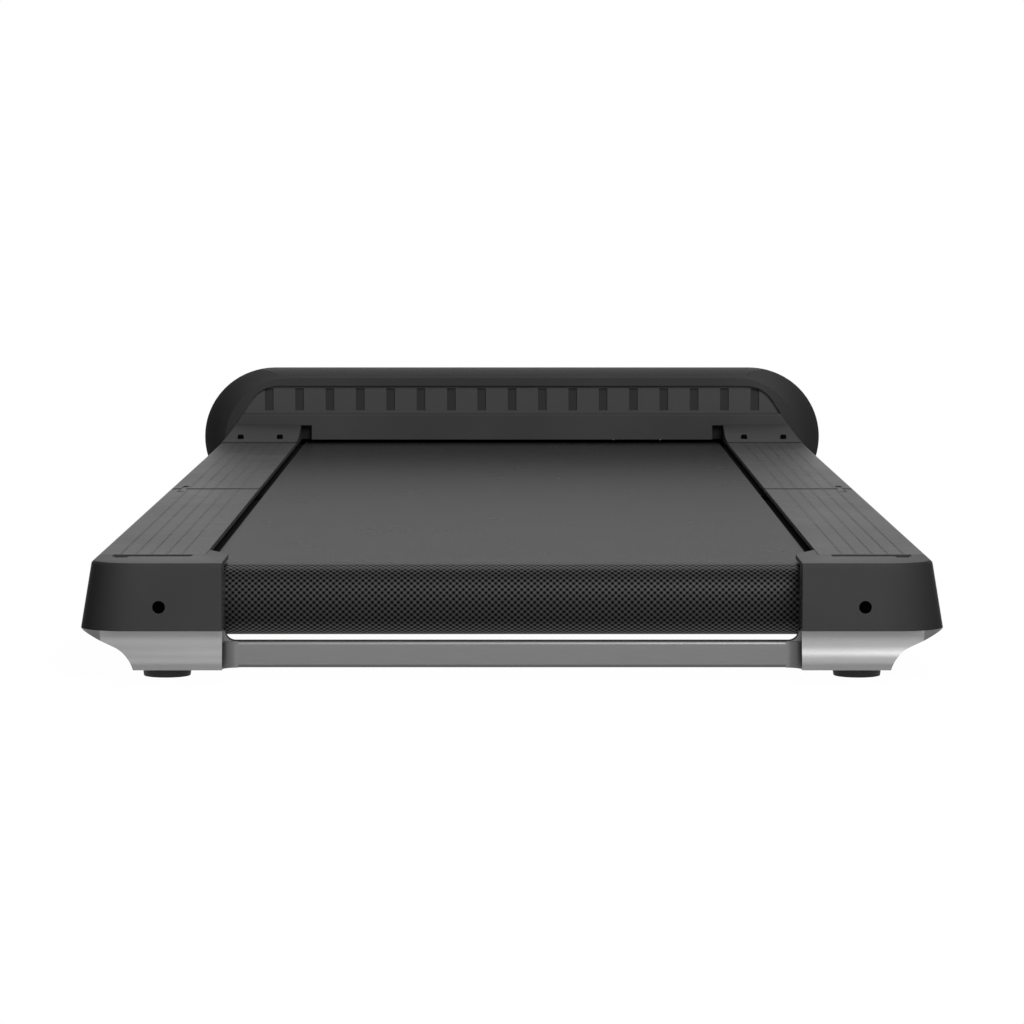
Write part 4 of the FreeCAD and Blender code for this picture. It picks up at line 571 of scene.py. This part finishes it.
def softened(node, material, radius):
    form = merged(node)
    if radius:
        sharp = [edge for edge in form.edges
                 if len(edge.link_faces) == 2 and edge.calc_face_angle() > ROUNDED_ABOVE]
        bmesh.ops.bevel(form, geom=sharp, offset=radius, offset_type="OFFSET", affect="EDGES",
                        segments=ROUND_STEPS, profile=0.5, material=-1, clamp_overlap=True)
    piece = finished(form, node + "_finished", material)
    weighted = piece.modifiers.new("even_shading", "WEIGHTED_NORMAL")
    weighted.keep_sharp = True
    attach(piece, nodes[node]["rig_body"])
    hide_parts(node)
    return piece


SOFTENED = (
    # node, finish, radius of its edges in metres
    ("hood_upper_shell", hood_plastic, 0.0),
    ("hood_base_pan", hood_plastic, 0.0),
    ("hood_vent_panel", panel_plastic, 0.0004),
    ("hood_rear_band", band_plastic, 0.0003),
    ("display_window", display_gloss, 0.0),
    ("front_rail_cover_left", rail_plastic, 0.0001),
    ("front_rail_cover_right", rail_plastic, 0.0001),
    ("rear_rail_cover_left", rail_plastic, 0.0001),
    ("rear_rail_cover_right", rail_plastic, 0.0001),
    ("rear_cap_left", cap_plastic, 0.00025),
    ("rear_cap_right", cap_plastic, 0.00025),
    ("rear_bracket_left", bracket_metal, 0.0011),
    ("rear_bracket_right", bracket_metal, 0.0011),
    ("lift_bar", bar_metal, 0.0002),
    ("fold_link_left", rail_plastic, 0.0001),
    ("fold_link_right", rail_plastic, 0.0001),
    ("fold_pins_front", turned_steel, 0.0005),
    ("fold_pins_rear", turned_steel, 0.0005),
    ("rail_end_screws", black_oxide, 0.001),
    ("tension_bolt_left", black_oxide, 0.0004),
    ("tension_bolt_right", black_oxide, 0.0004),
    ("rear_feet", foot_rubber, 0.0004),
    ("front_feet", foot_rubber, 0.0004),
    ("middle_feet_front", foot_rubber, 0.0004),
    ("middle_feet_rear", foot_rubber, 0.0004),
    ("transport_wheel_left", foot_rubber, 0.0008),
    ("transport_wheel_right", foot_rubber, 0.0008),
    ("power_inlet", inner_plastic, 0.0003),
    ("switch_frame", inner_plastic, 0.0003),
    ("power_rocker", inner_plastic, 0.0003),
)
for node, material, radius in SOFTENED:
    piece = softened(node, material, radius)
    print(piece.name, len(piece.data.polygons), "faces")

# %% [markdown]
# ## The walking belt
#
# The belt is a loop of coated fabric whose face is pressed into a pattern of small staggered bumps. Two
# crossed waves give the pattern: their product is positive on one half of a chequerboard and negative
# on the other, and the two halves are alike, so seen along the belt they blend to one even grey. The
# bumps are glossier low down, where the curve picks up the white of the floor.

# %% Belt pattern
BUMP_PITCH = 0.0039
BUMP_DEPTH = 0.00002
low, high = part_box("walking_belt")
belt_radius = (high.z - low.z) / 2
axis_z = (high.z + low.z) / 2


def pressed_belt():
    finish = Finish("pressed_belt", IOR=1.03, Coat_IOR=3.0, Coat_Roughness=0.5)
    cloth = finish.node("ShaderNodeUVMap", {"uv_map": "belt"})
    turns = 2 * math.pi / BUMP_PITCH
    across = (finish.part(cloth, "X") * turns).cosine()
    along = (finish.part(cloth, "Y") * turns).cosine()
    studs = (across * along).between(-0.8, 0.8)
    scuffs = finish.noise(finish.place, 0.05, 4.0)
    below = 1 - finish.part(finish.place, "Z").between(low.z, axis_z)
    finish.feed("Base Color", finish.mix(studs, grey(0.001), grey(0.0165)))
    finish.feed("Roughness", scuffs * 0.02 + 0.26)
    finish.feed("Coat Weight", studs * (below * 0.24 + 0.06))
    finish.bump(studs, BUMP_DEPTH)
    return finish.material


belt_face = pressed_belt()
print("belt bumps every", BUMP_PITCH * 1000, "mm")

# %% [markdown]
# The belt lies over both rollers and folds with the pad, so it is made as two pieces that meet at the
# fold. Each starts as one line across the pad, is drawn out along the deck, spun half a turn round its
# roller and drawn back underneath. Its own UV map holds the width and the length run so far, in metres,
# so the pattern follows the belt round the rollers.

# %% Belt helpers
FOLD_Y = -0.116
ON_FLAT = 0.00001


def draw_out(form, edges, step, count):
    """Extrudes a line of edges by equal steps and returns its last copy."""
    for _ in range(count):
        made = bmesh.ops.extrude_edge_only(form, edges=edges)["geom"]
        verts = {item for item in made if isinstance(item, bmesh.types.BMVert)}
        bmesh.ops.translate(form, verts=list(verts), vec=step)
        edges = [item for item in made
                 if isinstance(item, bmesh.types.BMEdge) and set(item.verts) <= verts]
    return edges


def length_run(point, roller_y, towards):
    """How far along the belt a point lies, from the fold over the top."""
    flat = abs(roller_y - FOLD_Y)
    past = (point.y - roller_y) * towards
    if past > ON_FLAT:
        return flat + belt_radius * math.atan2(past, point.z - axis_z)
    if point.z > axis_z:
        return flat + past
    return flat + belt_radius * math.pi - past


print("belt helpers ready, radius over the belt", round(belt_radius * 1000, 1), "mm")

# %% [markdown]
# The strip next to the fold has finer steps than the rest, because it bends there.

# %% Belt pieces
BELT_THICKNESS = 0.0016
BEND_REACH = 0.038
CUTS_ACROSS = 11
STEPS_BEND = 13
STEPS_FAR = 20
STEPS_ROUND = 24


def belt_piece(name, roller_y, towards):
    form = bmesh.new()
    corners = [form.verts.new((x, FOLD_Y, high.z)) for x in (low.x, high.x)]
    line = [form.edges.new(corners)]
    bmesh.ops.subdivide_edges(form, edges=line, cuts=CUTS_ACROSS)
    line = list(form.edges)
    bend = Vector((0, towards * BEND_REACH / STEPS_BEND, 0))
    far = Vector((0, (roller_y - FOLD_Y - towards * BEND_REACH) / STEPS_FAR, 0))
    line = draw_out(form, line, bend, STEPS_BEND)
    line = draw_out(form, line, far, STEPS_FAR)
    verts = list({vert for edge in line for vert in edge.verts})
    turned = bmesh.ops.spin(form, geom=verts + line, cent=(0, roller_y, axis_z), axis=(1, 0, 0),
                            dvec=(0, 0, 0), angle=-math.pi * towards, steps=STEPS_ROUND)
    line = [item for item in turned["geom_last"] if isinstance(item, bmesh.types.BMEdge)]
    line = draw_out(form, line, -far, STEPS_FAR)
    draw_out(form, line, -bend, STEPS_BEND)
    bmesh.ops.remove_doubles(form, verts=form.verts, dist=MERGE)
    bmesh.ops.recalc_face_normals(form, faces=form.faces)
    top = max(form.faces, key=lambda face: face.calc_center_median().z)
    if top.normal.z < 0:
        bmesh.ops.reverse_faces(form, faces=form.faces)
    chart = form.loops.layers.uv.new("belt")
    for face in form.faces:
        for loop in face.loops:
            loop[chart].uv = (loop.vert.co.x, length_run(loop.vert.co, roller_y, towards))
    bmesh.ops.solidify(form, geom=form.faces[:], thickness=BELT_THICKNESS)
    piece = finished(form, name, belt_face)
    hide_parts("walking_belt")
    return piece


front_belt = belt_piece("walking_belt_front", high.y - belt_radius, 1)
rear_belt = belt_piece("walking_belt_rear", low.y + belt_radius, -1)
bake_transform(front_belt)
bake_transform(rear_belt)
for belt in (front_belt, rear_belt):
    heights = [round(vert.co.z, 4) for vert in belt.data.vertices]
    print(belt.name, len(belt.data.polygons), "faces,", min(heights), "to", max(heights), "m high")

# %% [markdown]
# ## What stays as it is
#
# Rollers, tubes, motor and boards are right as solids and hardly seen, so they keep their shapes and
# only get a finish, picked by the slot that the record gives each of them.

# %% Finishes of the hidden solids
SLOT_FINISH = {
    "black_plastic": inner_plastic, "dark_gloss": display_gloss, "black_steel": painted_steel,
    "bright_steel": turned_steel, "silver": sink_metal, "grey_metal": bar_metal,
    "black_rubber": foot_rubber, "belt": belt_face, "board": deck_board, "circuit": circuit,
}
for name, node in nodes.items():
    node.data.materials.clear()
    node.data.materials.append(SLOT_FINISH[slot_of[name]])
print("finishes given to", len(nodes), "solids")
